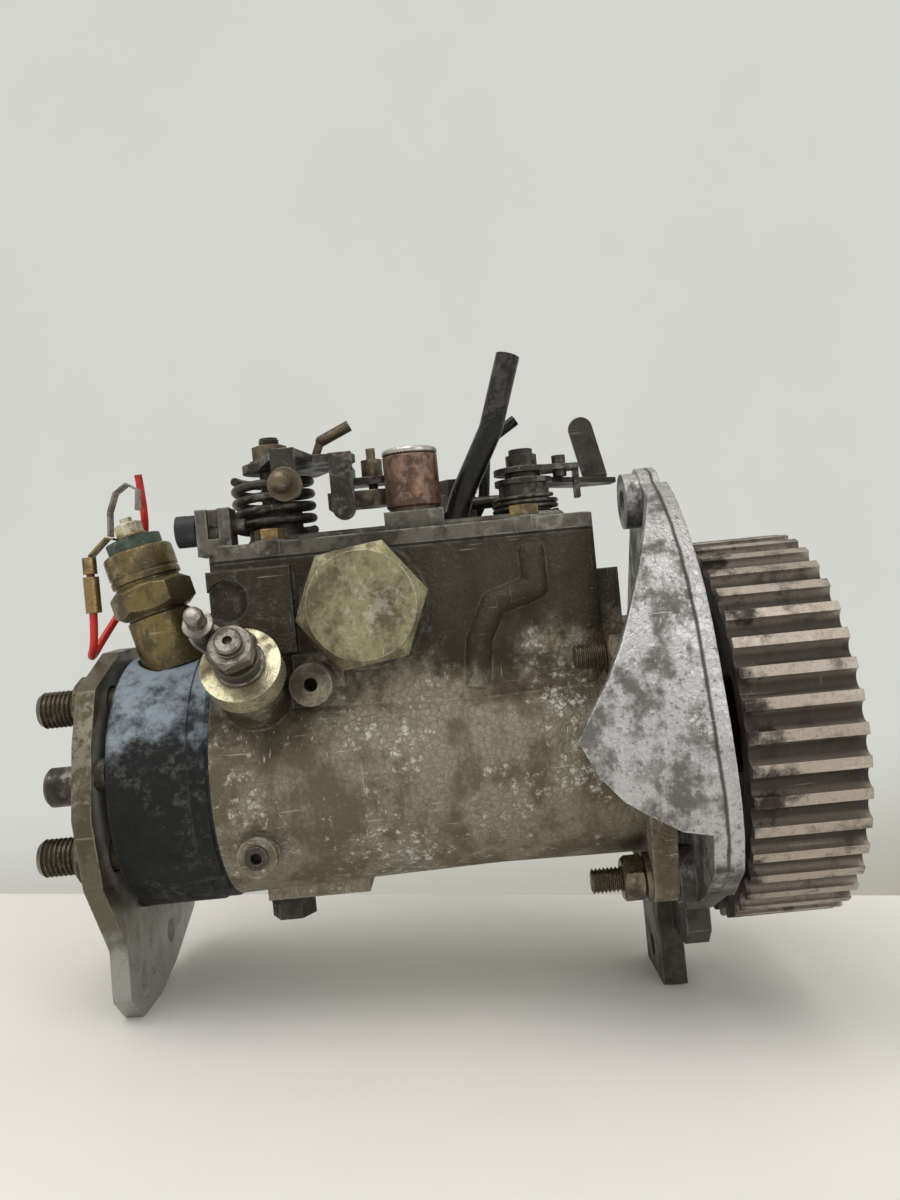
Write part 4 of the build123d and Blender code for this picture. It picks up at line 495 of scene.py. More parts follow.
    def grime_and_shade_mask(self) -> Socket:
        """Mask of dirt and painted shade: past a plane, inside a radius about the shaft, and painted shade in
        corners.

        Returns:
            The mask.
        """
        n, given = self.n, self.given
        ragged = n.swing(self.cloud, 0.5, self.GRIME_AND_SHADE_RAGGED)
        reach = n.add_up(n.minus(n.dot(self.where, given["grime_and_shade_way"]), given["grime_and_shade_from"]), ragged)
        past = n.times(n.ramp(reach, *self.GRIME_AND_SHADE_SPAN), given["grime_and_shade_amount"])
        axes = n.axes(self.where)
        radius = n.add_up(n.times(axes["Y"], axes["Y"]), n.times(axes["Z"], axes["Z"]))
        radius = n.maths("SQRT", radius, 0.0)
        span = n.minus(given["radial_high"], given["radial_low"])
        outer = n.maths("DIVIDE", n.minus(radius, given["radial_low"]), span, True)
        inner = n.times(n.one_less(outer), self.INNER_DARKENING)
        # Ambient occlusion paints shade into corners and crevices, in the grime colour.
        hollow = n.add("AmbientOcclusion", {"Distance": self.HOLLOW_REACH}, samples=4)["AO"]
        corner_shade = n.times(n.one_less(n.ramp(hollow, *self.OPEN_SPAN)), given["crevice_shade"])
        return n.largest(n.largest(past, inner), corner_shade, True)

    def edge_mask(self) -> Socket:
        """Mask of rubbed edges, broken up by noise; it also passes the rounded normal on.

        Returns:
            The mask.
        """
        n = self.n
        rounded = n.add("Bevel", {"Radius": self.given["round_edge"]}, samples=3)[0]
        n.fill(self.result["Rounded"], rounded)
        turn = n.dot(rounded, n.add("NewGeometry")["Normal"])
        turn = n.ramp(n.one_less(turn), *self.EDGE_SPAN)
        broken = n.ramp(n.noise(self.where, *self.EDGE_BREAKS), *self.EDGE_BREAK_SPAN)
        return n.times(n.times(turn, broken), self.given["edge_wear"], True)

    def scratch_mask(self) -> Socket:
        """Mask of fine scratches that run in two directions.

        Returns:
            The mask.
        """
        n = self.n
        ways = (n.placed(self.where, *way) for way in self.SCRATCH_WAYS)
        one, other = (n.ramp(n.noise(way, *self.SCRATCH_LINES), *self.SCRATCH_SPAN) for way in ways)
        gate = n.ramp(n.noise(self.where, *self.SCRATCH_FIELDS), *self.SCRATCH_FIELD_SPAN)
        return n.times(n.times(n.largest(one, other), gate), self.given["scratches"], True)


class FinishMaker:
    """Turns finishes into materials that share one wear group."""

    RELIEF_DEPTH = 0.5 * MM

    def __init__(self) -> None:
        """Start with no materials and build the shared group."""
        self.made: dict[str, Material] = {}
        self.group = WearGroup().build()

    def values(self, finish: Finish) -> dict[str, object]:
        """Value of each of the group's inputs for a finish.

        Args:
            finish: The finish.

        Returns:
            The values by input name.
        """
        low, high = finish.radial
        values = {name: getattr(finish, name) for name in WearGroup.NUMBERS + WearGroup.VECTORS}
        values |= {name: (*getattr(finish, name), 1.0) for name in WearGroup.COLOURS}
        return values | {"metal": finish.metal.value, "round_edge": finish.round_edge * MM,
                         "radial_low": low, "radial_high": high}

    def material(self, finish: Finish) -> Material:
        """Material of a finish, built once.

        Args:
            finish: The finish to build.

        Returns:
            Its material.
        """
        if finish.name in self.made:
            return self.made[finish.name]
        material = bpy.data.materials.new(finish.name)
        material.use_nodes = True
        n = Nodes(material.node_tree)
        shader = material.node_tree.nodes["Principled BSDF"]
        group = n.add("Group", self.values(finish), node_tree=self.group)
        bump = n.add("Bump", {"Strength": finish.relief, "Distance": self.RELIEF_DEPTH,
                              "Height": group["Height"], "Normal": group["Rounded"]})[0]
        inputs = {"Base Color": group["Colour"], "Roughness": group["Roughness"],
                  "Metallic": group["Metallic"], "Specular IOR Level": finish.gloss, "Normal": bump}
        for name, value in inputs.items():
            n.fill(shader.inputs[name], value)
        self.made[finish.name] = material
        return material


FINISHES = FinishMaker()


# ---- mesh helpers, with sizes in millimetres -----------------------------------------------
UP = (0, 0, 1)
FORWARD = (1, 0, 0)
REARWARD = (-1, 0, 0)
OUT_OF_SIDE = (0, -1, 0)
SHARP_EDGE = math.radians(32.0)      # steeper edges aren't smoothed over

# Shares of a thread's pitch.
THREAD_DEPTH = 0.6
THREAD_LEAD = 0.3
THREAD_ROOT = (0.45, 0.55)
THREAD_END = 1.2
THREAD_TIP = 0.12

TIP_CHAMFER = 0.3                    # of a threaded end
SEAT_DEPTH = 3.2                     # of a coned mouth
NUT_SIDES = 48
NUT_CHAMFER = 0.04                   # share of the flats that every corner loses in height
NUT_CHAMFER_SLOPE = 0.55
NUT_FACE = 0.93                      # share of the flats that stays level


def along(start: Point, direction: Point) -> Matrix:
    """Transform that puts +Z on a direction at a point, sizes in millimetres.

    Args:
        start: The point, in millimetres.
        direction: Where +Z goes.

    Returns:
        The transform, which also turns millimetres into metres.
    """
    turn = Vector(UP).rotation_difference(Vector(direction)).to_matrix().to_4x4()
    return Matrix.Scale(MM, 4) @ Matrix.Translation(Vector(start)) @ turn


def turned(degrees: float, size: int = 4) -> Matrix:
    """Turn about Z."""
    return Matrix.Rotation(math.radians(degrees), size, "Z")


def in_scene(name: str, data: bpy.types.ID) -> Object:
    """Make an object and put it in the scene.

    Args:
        name: The object's name.
        data: Its mesh, curve, light or camera.

    Returns:
        The object.
    """
    piece = bpy.data.objects.new(name, data)
    bpy.context.scene.collection.objects.link(piece)
    return piece


@dataclass(frozen=True)
class Piece:
    """One piece: its name, finish, material slot, the CAD node that it stands for and its body."""

    name: str
    finish: Finish
    slot: str
    node: str = ""
    body: Body = Body.PUMP

    def show(self, data: bpy.types.ID) -> Object:
        """Put a mesh or curve in the scene as this piece.

        Args:
            data: The mesh or curve.

        Returns:
            The object.
        """
        piece = in_scene(self.name, data)
        data.materials.append(FINISHES.material(self.finish))
        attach(piece, self.body.value)
        if self.node:
            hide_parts(self.node)
        return piece

    def of_mesh(self, bm: bmesh.types.BMesh) -> None:
        """Make the piece of a mesh, smooth but for its sharp edges, and free the mesh.

        Args:
            bm: The mesh, in metres.
        """
        bmesh.ops.remove_doubles(bm, verts=bm.verts, dist=1e-7)
        bmesh.ops.recalc_face_normals(bm, faces=bm.faces)
        for face in bm.faces:
            face.smooth = True
        for edge in bm.edges:
            edge.smooth = edge.calc_face_angle(0.0) < SHARP_EDGE
        mesh = bpy.data.meshes.new(self.name)
        bm.to_mesh(mesh)
        bm.free()
        LOG.info("%s: %d faces", self.name, len(mesh.polygons))
        self.show(mesh)

    def of_wire(self, points: list[Point], radius: float, order: int = 4) -> Object:
        """Make the piece of round wire along a smooth curve.

        Args:
            points: The curve's control points, in millimetres.
            radius: The wire's radius, in millimetres.
            order: Order of the curve.

        Returns:
            The object.
        """
        curve = bpy.data.curves.new(self.name, "CURVE")
        curve.dimensions = "3D"
        curve.bevel_depth = radius * MM
        curve.bevel_resolution = 4
        curve.use_fill_caps = True
        curve.resolution_u = 8
        spline = curve.splines.new("NURBS")
        spline.points.add(len(points) - 1)
        for control, point in zip(spline.points, points):
            control.co = (*(c * MM for c in point), 1.0)
        spline.order_u = order
        spline.use_endpoint_u = True
        return self.show(curve)


def lathe(bm: bmesh.types.BMesh, place: Matrix, outline: Outline, steps: int = 48) -> None:
    """Spin an outline into a closed solid and add it to a mesh.

    Args:
        bm: The mesh to add to.
        place: Where the solid goes, from `along`.
        outline: Points (radius, height); the first and last lie on the axis or join up.
        steps: Sides of the turned shape.
    """
    work = bmesh.new()
    points = [work.verts.new((radius, 0.0, height)) for radius, height in outline]
    edges = [work.edges.new(pair) for pair in zip(points, points[1:])]
    bmesh.ops.spin(work, geom=points + edges, cent=(0, 0, 0), axis=UP, angle=math.tau, steps=steps,
                   use_merge=True)
    bmesh.ops.remove_doubles(work, verts=work.verts, dist=1e-4)
    merge(bm, work, place)


def tube(inner: float, outer: float, height: float) -> Outline:
    """Outline of a plain ring or tube."""
    return [(inner, 0), (outer, 0), (outer, height), (inner, height), (inner, 0)]


def merge(bm: bmesh.types.BMesh, part: bmesh.types.BMesh, place: Matrix) -> None:
    """Add one mesh to another and free it.

    Args:
        bm: The mesh to add to.
        part: The mesh to add.
        place: Where it goes.
    """
    bmesh.ops.recalc_face_normals(part, faces=part.faces)
    bmesh.ops.transform(part, matrix=place, verts=part.verts)
    held = bpy.data.meshes.new("held")
    part.to_mesh(held)
    part.free()
    bm.from_mesh(held)
    bpy.data.meshes.remove(held)


def raised(work: bmesh.types.BMesh, height: float) -> list[bmesh.types.BMVert]:
    """Thicken a flat mesh upwards.

    Args:
        work: The mesh.
        height: How far its new top lies over it.

    Returns:
        The new top's vertices.
    """
    grown = bmesh.ops.extrude_face_region(work, geom=list(work.faces))["geom"]
    upper = [g for g in grown if isinstance(g, bmesh.types.BMVert)]
    bmesh.ops.translate(work, verts=upper, vec=(0, 0, height))
    return upper


def nut(bm: bmesh.types.BMesh, place: Matrix, flats: float, height: float, turn: float = 0.0,
        both_ends: bool = True) -> None:
    """Add a hexagon whose corners are turned away at its ends.

    Args:
        bm: The mesh to add to.
        place: Where its foot goes.
        flats: Width across flats.
        height: Height.
        turn: Degrees about its axis.
        both_ends: Whether the foot's corners are turned too.
    """
    work = bmesh.new()
    bmesh.ops.create_circle(work, cap_ends=True, segments=NUT_SIDES, radius=1.0)
    upper = set(raised(work, height))
    apothem = flats / 2
    for vert in work.verts:
        angle = math.degrees(math.atan2(vert.co.y, vert.co.x)) % 60 - 30
        reach = apothem / math.cos(math.radians(angle))
        drop = NUT_CHAMFER * flats + NUT_CHAMFER_SLOPE * (reach - apothem)
        vert.co.x *= reach
        vert.co.y *= reach
        if vert in upper:
            vert.co.z -= drop
        elif both_ends:
            vert.co.z += drop
    caps = [face for face in work.faces if len(face.verts) == NUT_SIDES]
    bmesh.ops.inset_individual(work, faces=caps, thickness=0.01)
    for cap in caps:
        on_top = cap.calc_center_median().z > height / 2
        for vert in cap.verts:
            level = vert.co.to_2d().normalized() * NUT_FACE * apothem
            vert.co = (level.x, level.y, height if on_top else 0.0)
    bmesh.ops.rotate(work, verts=work.verts, cent=(0, 0, 0), matrix=turned(turn, 3))
    merge(bm, work, place)


def threaded(bm: bmesh.types.BMesh, place: Matrix, radius: float, length: float, pitch: float,
             bore: float = 0.0, cone: float = 0.0) -> None:
    """Add a threaded rod or tube end with real thread ridges.

    Args:
        bm: The mesh to add to.
        place: Where its foot goes.
        radius: Crest radius.
        length: Length.
        pitch: Distance between crests.
        bore: Radius of a hole down the middle, or 0.
        cone: Mouth radius of a coned seat at the tip, or 0.
    """
    root = radius - THREAD_DEPTH * pitch
    root_low, root_high = THREAD_ROOT
    outline = [(bore, 0.0), (radius, 0.0)]
    height = THREAD_LEAD * pitch
    while height < length - THREAD_END * pitch:
        outline += [(radius, height), (root, height + root_low * pitch), (root, height + root_high * pitch)]
        height += pitch
    outline += [(radius, height), (root, length - THREAD_TIP * pitch), (root - TIP_CHAMFER, length)]
    if cone:
        outline += [(cone, length), (bore, length - SEAT_DEPTH)]
    else:
        outline.append((bore, length))
    if bore:
        outline.append((bore, 0.0))
    lathe(bm, place, outline, 40)


# ---- sub-assemblies, with sizes in millimetres ---------------------------------------------
def on_circle(x: float, radius: float, angle: float) -> Point:
    """Point at an angle round the shaft's axis."""
    return (x, radius * math.cos(math.radians(angle)), radius * math.sin(math.radians(angle)))


@dataclass
class Coil:
    """Round-wire coil spring about a vertical axis."""

    name: str
    node: str
    axis: tuple[float, float]
    low: float
    high: float
    turns: float
    radius: float
    wire: float
    points_per_turn: int = 20

    def build(self) -> None:
        """Wind the coil."""
        count = round(self.turns * self.points_per_turn)
        points = []
        for step in range(count + 1):
            share = step / count
            angle = share * self.turns * math.tau
            height = self.low + share * (self.high - self.low)
            points.append((self.axis[0] + self.radius * math.cos(angle),
                           self.axis[1] + self.radius * math.sin(angle), height))
        Piece(self.name, DARK_STEEL, "dark_steel", self.node).of_wire(points, self.wire)


@dataclass
class RearOutlets:
    """Four threaded high-pressure unions behind the rear plate."""

    circle: float = 33.0
    angles: tuple[float, ...] = (122.0, 213.0, 303.0, 33.0)
    inner: float = -156.0            # where the unions start inside the head
    seat: float = -181.4             # the rear plate's outer face
    tip: float = -199.0
    radius: float = 6.0
    undercut: float = 0.6
    hex_flats: float = 17.0
    hex_height: float = 5.0
    pitch: float = 1.5
    bore: float = 1.6
    cone: float = 3.6

    def build(self) -> None:
        """Build all four as one piece."""
        bm = bmesh.new()
        thread_foot = self.seat - self.hex_height
        for angle in self.angles:
            inner, seat, foot = (along(on_circle(x, self.circle, angle), REARWARD)
                                 for x in (self.inner, self.seat, thread_foot))
            lathe(bm, inner, tube(self.bore, self.radius - self.undercut, self.inner - self.seat))
            nut(bm, seat, self.hex_flats, self.hex_height, angle)
            threaded(bm, foot, self.radius, thread_foot - self.tip, self.pitch, self.bore, self.cone)
        Piece("outlet_unions", THREAD_STEEL, "dark_steel", "high_pressure_outlets").of_mesh(bm)


@dataclass
class BracketStuds:
    """Three studs with nuts and washers that hold the front bracket to the flange."""

    circle: float = 50.0
    angles: tuple[float, ...] = (142.5, 236.0, 10.0)
    flange: float = -8.0             # the flange's rear face
    tail: float = -26.5
    front: float = 10.0
    radius: float = 4.0
    chamfer: float = 0.5
    pitch: float = 1.25
    washer_radius: float = 7.6
    washer_height: float = 1.8
    washer_chamfer: float = 0.3
    nut_flats: float = 13.0
    nut_height: float = 7.0

    def build(self) -> None:
        """Build the studs and their nuts."""
        rods, nuts = bmesh.new(), bmesh.new()
        r, plain = self.radius, self.front - self.flange
        wide, thick, cut = self.washer_radius, self.washer_height, self.washer_chamfer
        for angle in self.angles:
            foot = on_circle(self.flange, self.circle, angle)
            seat = on_circle(self.flange - thick, self.circle, angle)
            threaded(rods, along(foot, REARWARD), r, self.flange - self.tail, self.pitch)
            lathe(rods, along(foot, FORWARD), [(0, 0), (r, 0), (r, plain - self.chamfer),
                                               (r - self.chamfer, plain), (0, plain)])
            lathe(nuts, along(foot, REARWARD), [(r, 0), (wide, 0), (wide, thick - cut), (wide - cut, thick),
                                                (r, thick), (r, 0)])
            nut(nuts, along(seat, REARWARD), self.nut_flats, self.nut_height, angle)
        Piece("stud_threads", THREAD_STEEL, "bright_steel", "bracket_studs").of_mesh(rods)
        Piece("flange_nuts", THREAD_STEEL, "bright_steel", "stud_nuts").of_mesh(nuts)


@dataclass
class AdvancePlug:
    """Large hexagon plug with its sealing washer over the advance piston."""

    face: Point = (-89.0, -35.4, 52.4)
    flats: float = 36.0
    head: float = 7.0
    washer: float = 1.6
    washer_radii: tuple[float, float] = (11.0, 17.0)
    turn: float = 8.0

    def build(self) -> None:
        """Build the plug's head and washer as one piece."""
        bm = bmesh.new()
        x, y, z = self.face
        lathe(bm, along(self.face, OUT_OF_SIDE), tube(*self.washer_radii, self.washer))
        place = along((x, y - self.washer, z), OUT_OF_SIDE) @ turned(self.turn)
        nut(bm, place, self.flats, self.head, both_ends=False)
        Piece("advance_plug_head", PLUG_ZINC, "yellow_zinc", "advance_plug").of_mesh(bm)


@dataclass
class SealedCap:
    """Copper-coloured cap over the adjusting screw, crimped with a silver rim."""

    foot: Point = (-71.1, -18.0, 81.0)
    radius: float = 9.0
    height: float = 20.8

    def build(self) -> None:
        """Build the sleeve and its rim."""
        r, h = self.radius, self.height
        place = along(self.foot, UP)
        sleeve, rim = bmesh.new(), bmesh.new()
        lathe(sleeve, place, [(0, 0), (r - 0.9, 0), (r - 0.9, 1.2), (r - 0.1, 2.0), (r - 0.05, h - 2.6),
                              (r - 0.6, h - 2.3), (0, h - 2.3)])
        lathe(rim, place, [(0, h - 2.2), (r - 0.5, h - 2.2), (r, h - 1.8), (r, h - 0.9), (r - 0.5, h - 0.25),
                           (r - 1.5, h), (r - 2.2, h - 0.3), (r - 2.8, h - 0.9), (0, h - 0.9)])
        Piece("cap_sleeve", COPPER, "copper", "tamper_cap").of_mesh(sleeve)
        Piece("cap_rim", RIM_STEEL, "copper").of_mesh(rim)


@dataclass
class Solenoid:
    """Stop solenoid: boss, hexagon and crimped cylinder on a leaning axis."""

    base: Point = (-156.1, -8.0, 38.0)
    lean: float = 14.0
    root_radius: float = 4.9         # of the end that is screwed into the head
    root_depth: float = 5.5
    boss: float = 10.6
    hexagon: tuple[float, float] = (19.4, 29.5)
    flats: float = 24.0
    turn: float = 8.0
    radius: float = 11.6
    top: float = 41.3

    def at(self, distance: float) -> Matrix:
        """Transform at a distance along the solenoid's axis."""
        way = Vector((-math.sin(math.radians(self.lean)), 0, math.cos(math.radians(self.lean))))
        return along(tuple(Vector(self.base) + way * distance), tuple(way))

    def build(self) -> None:
        """Build the solenoid's body as one piece."""
        bm = bmesh.new()
        root, deep = self.root_radius, -self.root_depth
        low, high = self.hexagon
        b, r, top = self.boss, self.radius, self.top
        lathe(bm, self.at(0), [(0, deep), (root, deep), (root, 0), (b, 0), (b, low - 1.5),
                               (b - 0.8, low - 0.8), (b - 0.8, low), (0, low)])
        nut(bm, self.at(low), self.flats, high - low, self.turn)
        lathe(bm, self.at(0), [(0, high), (r - 0.9, high), (r - 0.9, high + 0.9), (r, high + 1.3),
                               (r, high + 3.0), (r - 0.35, high + 3.3), (r - 0.35, high + 3.8),
                               (r, high + 4.1), (r, top - 1.4), (r - 0.4, top - 0.5), (r - 1.4, top),
                               (0, top)], 64)
        Piece("solenoid_body", SOLENOID_BODY, "brass", "shutoff_solenoid").of_mesh(bm)


@dataclass
class SideLever:
    """Flat lever on a leaning shaft at the side, with its washers and nut."""

    WASHERS = [(7.4, 0.3), (7.6, 0.6), (7.6, 1.3), (7.2, 1.7), (6.0, 1.8), (6.2, 2.2), (6.2, 3.2), (5.6, 3.6),
               (6.6, 3.8), (6.6, 5.3)]
    PIN = [(0, 0), (2.7, 0), (2.7, 2.4), (3.4, 2.5), (3.4, 7.4), (4.5, 7.7), (4.6, 8.2), (4.4, 8.8),
           (3.0, 9.1), (2.6, 10.4), (2.9, 11.6), (2.9, 13.0), (2.5, 14.2), (1.5, 14.8), (0, 14.8)]

    face: Point = (-125.1, -52.0, 38.5)
    lean: float = 30.0
    pin: tuple[float, float] = (-9.0, 7.0)
    strip_width: float = 8.6
    strip_thick: float = 2.4
    strip_lift: float = 5.4
    shaft: float = 4.0
    shaft_depth: float = 21.0
    socket: tuple[float, float] = (1.4, 1.6)     # radius and depth of the hole in the shaft's tip
    nut_flats: float = 13.0
    nut_height: float = 5.0
    nut_turn: float = 20.0

    def at(self, lift: float, aside: tuple[float, float] = (0.0, 0.0)) -> Matrix:
        """Place over the face.

        Args:
            lift: How far over it.
            aside: How far aside, in the lever's plane.

        Returns:
            The transform.
        """
        way = (0.0, -math.cos(math.radians(self.lean)), math.sin(math.radians(self.lean)))
        start = tuple(Vector(self.face) + Vector(way) * lift)
        return along(start, way) @ Matrix.Translation((*aside, 0.0))

    def strip(self, bm: bmesh.types.BMesh) -> None:
        """Add the lever's flat strip with round ends.

        Args:
            bm: The mesh to add to.
        """
        x, y = self.pin
        work = bmesh.new()
        half = math.hypot(x, y) / 2
        bmesh.ops.create_circle(work, cap_ends=True, segments=40, radius=self.strip_width / 2)
        for vert in work.verts:
            vert.co.x += half if vert.co.x > 0.001 else -half
        raised(work, self.strip_thick)
        turn = Matrix.Rotation(math.atan2(y, x), 4, "Z")
        merge(bm, work, self.at(self.strip_lift, (x / 2, y / 2)) @ turn)

    def build(self) -> None:
        """Build the lever with its shaft, and the pin at its end."""
        bm, pin = bmesh.new(), bmesh.new()
        r, deep = self.shaft, -self.shaft_depth
        hole, tip = self.socket[0], 3.7
        bottom = tip - self.socket[1]
        lathe(bm, self.at(0), [(0, deep), (r, deep), (r, 0.3), *self.WASHERS, (0, self.strip_lift)])
        self.strip(bm)
        top = self.strip_lift + self.strip_thick
        nut(bm, self.at(top), self.nut_flats, self.nut_height, self.nut_turn)
        lathe(bm, self.at(top + 4.0), [(0, 0), (r, 0), (r, 3.2), (r - 0.6, tip), (hole, tip), (hole, bottom),
                                       (0, bottom)])
        Piece("side_lever_strip", LEVER_STEEL, "dark_steel", "side_lever", Body.SIDE).of_mesh(bm)
        lathe(pin, self.at(self.strip_lift, self.pin), self.PIN)
        Piece("side_lever_pin", BRIGHT_STEEL, "bright_steel", "side_pin", Body.SIDE).of_mesh(pin)


@dataclass
class ThrottleStud:
    """Thread ridges at the top of the throttle's shaft."""

    foot: Point = (-117.9, -10.0, 105.0)
    radius: float = 3.45
    length: float = 5.6
    pitch: float = 0.72

    def build(self) -> None:
        """Add the ridges, which turn with the throttle."""
        stud = bmesh.new()
        threaded(stud, along(self.foot, UP), self.radius, self.length, self.pitch)
        Piece("throttle_stud_thread", THREAD_STEEL, "dark_steel", body=Body.THROTTLE).of_mesh(stud)


@dataclass
class StopWire:
    """Red wire of the solenoid, cut off at its far end."""

    points: tuple[Point, ...] = (
        (-180.9, -12.0, 76.5), (-180.9, -12.0, 50.5), (-186.0, -7.0, 42.0), (-183.5, 2.0, 50.0),
        (-176.5, 9.0, 62.0), (-168.0, 9.0, 83.0), (-166.4, 6.0, 94.0), (-167.2, 5.0, 105.6))
    radius: float = 1.35
    length: float = 104.0

    def build(self) -> None:
        piece = Piece("stop_wire", RED_INSULATION, "red_plastic", "solenoid_wire")
        wire = piece.of_wire(list(self.points), self.radius, 3)


# ---- plain dressing of the CAD pieces ------------------------------------------------------
class Dresser:
    """Gives every CAD node its finish."""

    CHOICE: dict[Finish, str] = {
        CAST_HOUSING: "pump_housing",
        CAST_COVER: "governor_cover",
        CAST_BRACKET: "front_bracket",
        HEAD_PAINT: "hydraulic_head",
        RING_DIRT: "seals",
        PULLEY_STEEL: "pulley",
        PLATE_STEEL: "rear_bracket",
        SOLENOID_BODY: "shutoff_solenoid",
        GREEN_PLASTIC: "solenoid_insulator",
        RED_INSULATION: "solenoid_wire",
        BLACK_PLASTIC: "stop_screw_cap",
        COPPER: "tamper_cap",
        BLACK_TUBE: "return_pipes",
        PLUG_ZINC: "advance_plug",
        SEALING: "cover_gasket",
        OLD_BRASS: "cover_screws terminal_clip shaft_bush",
        YELLOW_ZINC: "terminal_nut side_cap fuel_inlet",
        BROWN_STEEL: "high_pressure_outlets throttle_fittings throttle_nut side_lever",
        DARK_STEEL: "head_bolts end_plug adjusting_screws housing_screws pulley_nut governor_cage"
                    " throttle_shaft throttle_lever throttle_spring idle_lever idle_spring"
                    " governor_weight_1 governor_weight_2 governor_weight_3 governor_weight_4",
        BRIGHT_STEEL: "wire_loop pump_liner bracket_studs stud_nuts arm_pin drive_shaft pulley_key rotor"
                      " transfer_pump plungers rollers thrust_sleeve governor_arm governor_spring"
                      " metering_valve metering_link cam_ring advance_piston advance_spring side_pin",
    }

    def build(self) -> None:
        """Dress each node in its finish, in place of its plain one."""
        for finish, nodes in self.CHOICE.items():
            for node in nodes.split():
                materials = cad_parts[node].data.materials
                materials.clear()
                materials.append(FINISHES.material(finish))
            LOG.info("%s: %s", finish.name, nodes)


# ---- studio, with sizes in metres ----------------------------------------------------------
@dataclass
class Lamp:
    """One soft rectangular lamp aimed at a point."""

    name: str
    place: Point
    aim: Point
    size: tuple[float, float]
    power: float
    tint: Colour

    def build(self) -> None:
        """Put the lamp in the scene."""
        data = bpy.data.lights.new(self.name, "AREA")
        data.shape = "RECTANGLE"
        data.size, data.size_y = self.size
        data.energy = self.power
        data.color = self.tint
        lamp = in_scene(self.name, data)
        lamp.location = Vector(self.place)
        way = Vector(self.aim) - Vector(self.place)
        lamp.rotation_mode = "QUATERNION"
        lamp.rotation_quaternion = way.to_track_quat("-Z", "Y")


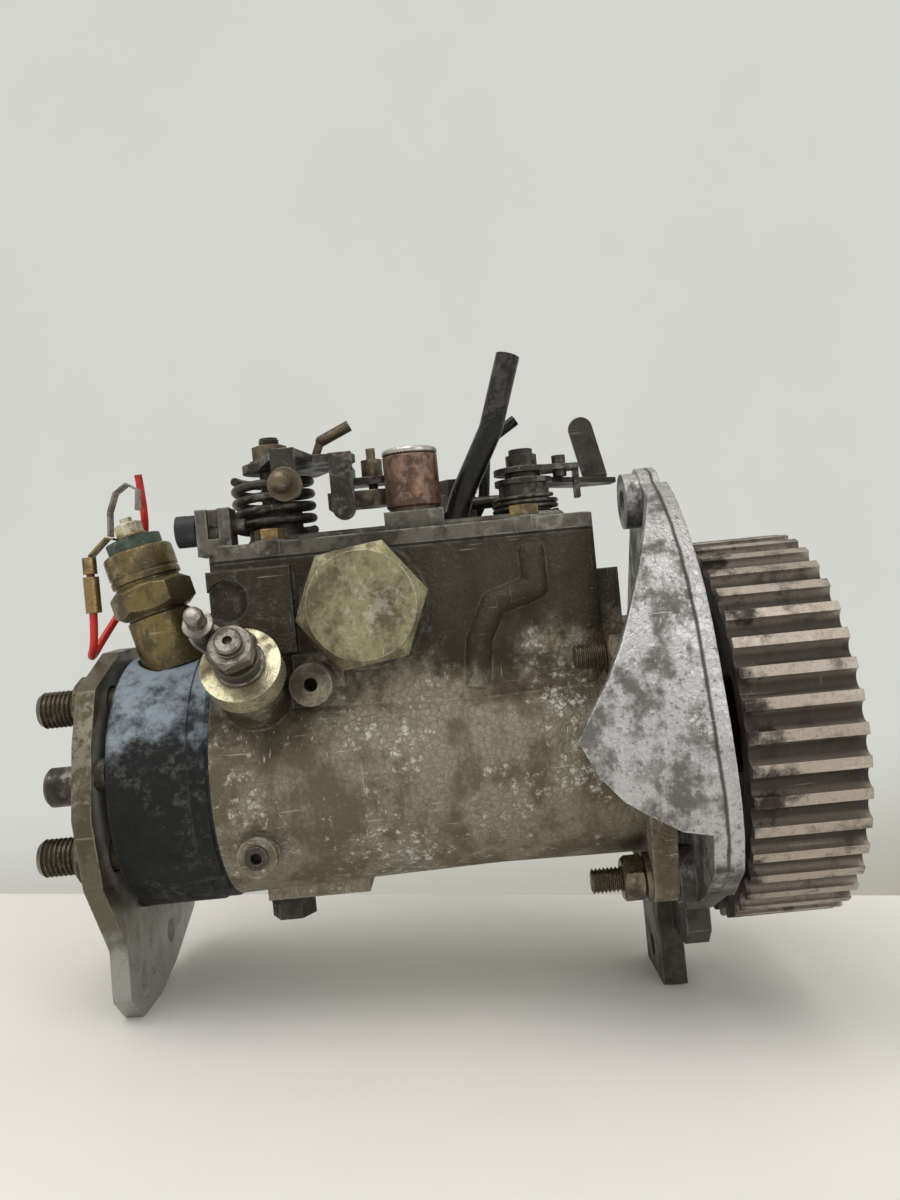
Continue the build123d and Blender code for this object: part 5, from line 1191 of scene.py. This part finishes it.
@dataclass
class Studio:
    """Pale floor and wall, the camera and its lamps. The pump leans a little on the floor."""

    right: Point = (0.99535053, 0.00651761, -0.09609812)
    down: Point = (-0.09610016, 0.0, -0.99537167)
    forward: Point = (-0.00648745, 0.99997876, 0.00062634)
    eye: Point = (-0.0603, -0.33999, 0.05124)
    sensor: float = 36.0             # millimetres, like the lens
    lens: float = 29.586
    near: float = 0.01
    floor_drop: float = 0.0916
    wall_y: float = 0.118
    floor_tint: Colour = (0.82, 0.80, 0.765)
    wall_tint: Colour = (0.665, 0.675, 0.635)
    wall_foot_shade: Colour = (0.66, 0.62, 0.56)       # how much of its tint the wall keeps at its foot, painted darker there as shade
    wall_shade_fade: tuple[float, float] = (-0.11, -0.02)
    cloud: tuple[float, float] = (9.0, 4.0)
    cloud_edge: tuple[float, float] = (0.35, 0.65)
    cloud_shade: float = 0.97
    paper_rough: float = 0.75
    paper_gloss: float = 0.2
    sky_tint: Shade = (1.0, 0.98, 0.95, 1.0)
    sky_power: float = 0.74
    lamps: tuple[Lamp, ...] = (
        Lamp("key", (-0.5, -0.7, 2.0), (-0.06, 0.0, 0.0), (2.4, 1.6), 25.0, (1.0, 0.985, 0.96)),
        Lamp("fill", (1.3, -1.4, 0.7), (-0.05, 0.0, 0.02), (1.0, 1.0), 4.0, (0.95, 0.97, 1.0)))

    def paper(self, name: str, tint: Colour) -> Material:
        """Matt pale surface with faint unevenness.

        Args:
            name: The material's name.
            tint: Its colour.

        Returns:
            The material.
        """
        material = bpy.data.materials.new(name)
        material.use_nodes = True
        n = Nodes(material.node_tree)
        shader = material.node_tree.nodes["Principled BSDF"]
        cloud = n.ramp(n.noise(n.add("TexCoord")["Object"], *self.cloud), *self.cloud_edge)
        shade = (*(self.cloud_shade * c for c in tint), 1.0)
        n.fill(shader.inputs["Base Color"], n.mix(cloud, (*tint, 1.0), shade))
        n.fill(shader.inputs["Roughness"], self.paper_rough)
        n.fill(shader.inputs["Specular IOR Level"], self.paper_gloss)
        return material

    def glow_with_painted_foot_shade(self, material: Material) -> None:
        """Let the camera see the wall from the front as an even glow, painted darker towards its foot as
        shade, and see through it from behind.

        Args:
            material: The wall's paper.
        """
        tree = material.node_tree
        n = Nodes(tree)
        shader = tree.nodes["Principled BSDF"]
        tone = shader.inputs["Base Color"].links[0].from_socket
        height = n.axes(n.add("TexCoord")["Object"])["Z"]
        foot = (*(c * k for c, k in zip(self.wall_tint, self.wall_foot_shade)), 1.0)
        # The glow is painted darker towards the wall's foot, as shade.
        glow_and_foot_shade = n.add("Emission", {"Color": n.mix(n.ramp(height, *self.wall_shade_fade), foot, tone)})[0]
        unseen = n.one_less(n.add("LightPath")["Is Camera Ray"])
        front = n.choose(unseen, glow_and_foot_shade, shader.outputs[0])
        behind = n.add("NewGeometry")["Backfacing"]
        clear = n.choose(behind, front, n.add("BsdfTransparent")[0])
        n.fill(tree.nodes["Material Output"].inputs["Surface"], clear)

    def sheet(self, name: str, middle: Vector, across: Vector, onward: Vector, tint: Colour) -> Material:
        """Add a flat rectangle spanned by two vectors.

        Args:
            name: The object's name.
            middle: Its middle.
            across: Half its first side.
            onward: Half its second side.
            tint: Its colour.

        Returns:
            Its material.
        """
        bm = bmesh.new()
        bmesh.ops.create_grid(bm, x_segments=1, y_segments=1, size=1.0)
        turn = Matrix((across, onward, across.cross(onward).normalized())).transposed().to_4x4()
        bmesh.ops.transform(bm, matrix=Matrix.Translation(middle) @ turn, verts=bm.verts)
        mesh = bpy.data.meshes.new(name)
        bm.to_mesh(mesh)
        bm.free()
        paper = self.paper(name + "_paper", tint)
        mesh.materials.append(paper)
        in_scene(name, mesh)
        return paper

    def build_camera(self) -> None:
        """Put the camera at its eye point."""
        data = bpy.data.cameras.new("camera")
        data.sensor_width = self.sensor
        data.lens = self.lens
        data.clip_start = self.near
        camera = in_scene("camera", data)
        axes = Matrix((Vector(self.right), -Vector(self.down), -Vector(self.forward))).transposed()
        camera.rotation_mode = "QUATERNION"
        camera.rotation_quaternion = axes.to_quaternion()
        camera.location = Vector(self.eye)
        bpy.context.scene.camera = camera

    def build_sky(self) -> None:
        """Fill the room with soft warm light."""
        world = bpy.data.worlds.new("room")
        world.use_nodes = True
        sky = world.node_tree.nodes["Background"].inputs
        sky["Color"].default_value = self.sky_tint
        sky["Strength"].default_value = self.sky_power
        bpy.context.scene.world = world
        bpy.context.scene.view_settings.view_transform = "Standard"

    def build(self) -> None:
        """Build the floor, wall, camera, lamps and sky light."""
        up = -Vector(self.down)
        right = Vector((up.z, 0.0, -up.x))
        away = Vector((0.0, 1.0, 0.0))
        foot = Vector(self.eye) - up * (up.dot(Vector(self.eye)) + self.floor_drop)
        foot.y = self.wall_y
        self.sheet("floor", foot, right * 2.0, away * 3.0, self.floor_tint)
        self.glow_with_painted_foot_shade(self.sheet("wall", foot + up * 1.0, right * 2.0, up * 1.0, self.wall_tint))
        self.build_camera()
        for lamp in self.lamps:
            lamp.build()
        self.build_sky()


def main() -> None:
    """Dress the pump and build its studio."""
    logging.basicConfig(level=logging.INFO)
    throttle_coil = Coil("throttle_coil", "throttle_spring", axis=(-117.9, -10.0), low=79.3, high=97.7,
                         turns=4.5, radius=12.6, wire=1.5)
    idle_coil = Coil("idle_coil", "idle_spring", axis=(-34.2, -8.0), low=78.3, high=83.1, turns=2.9,
                     radius=10.6, wire=0.7)
    for section in (Dresser(), RearOutlets(), BracketStuds(), AdvancePlug(), SealedCap(), Solenoid(),
                    SideLever(), ThrottleStud(), StopWire(), throttle_coil, idle_coil, Studio()):
        section.build()
        LOG.info("%s built", type(section).__name__)


if __name__ == "__main__":
    main()
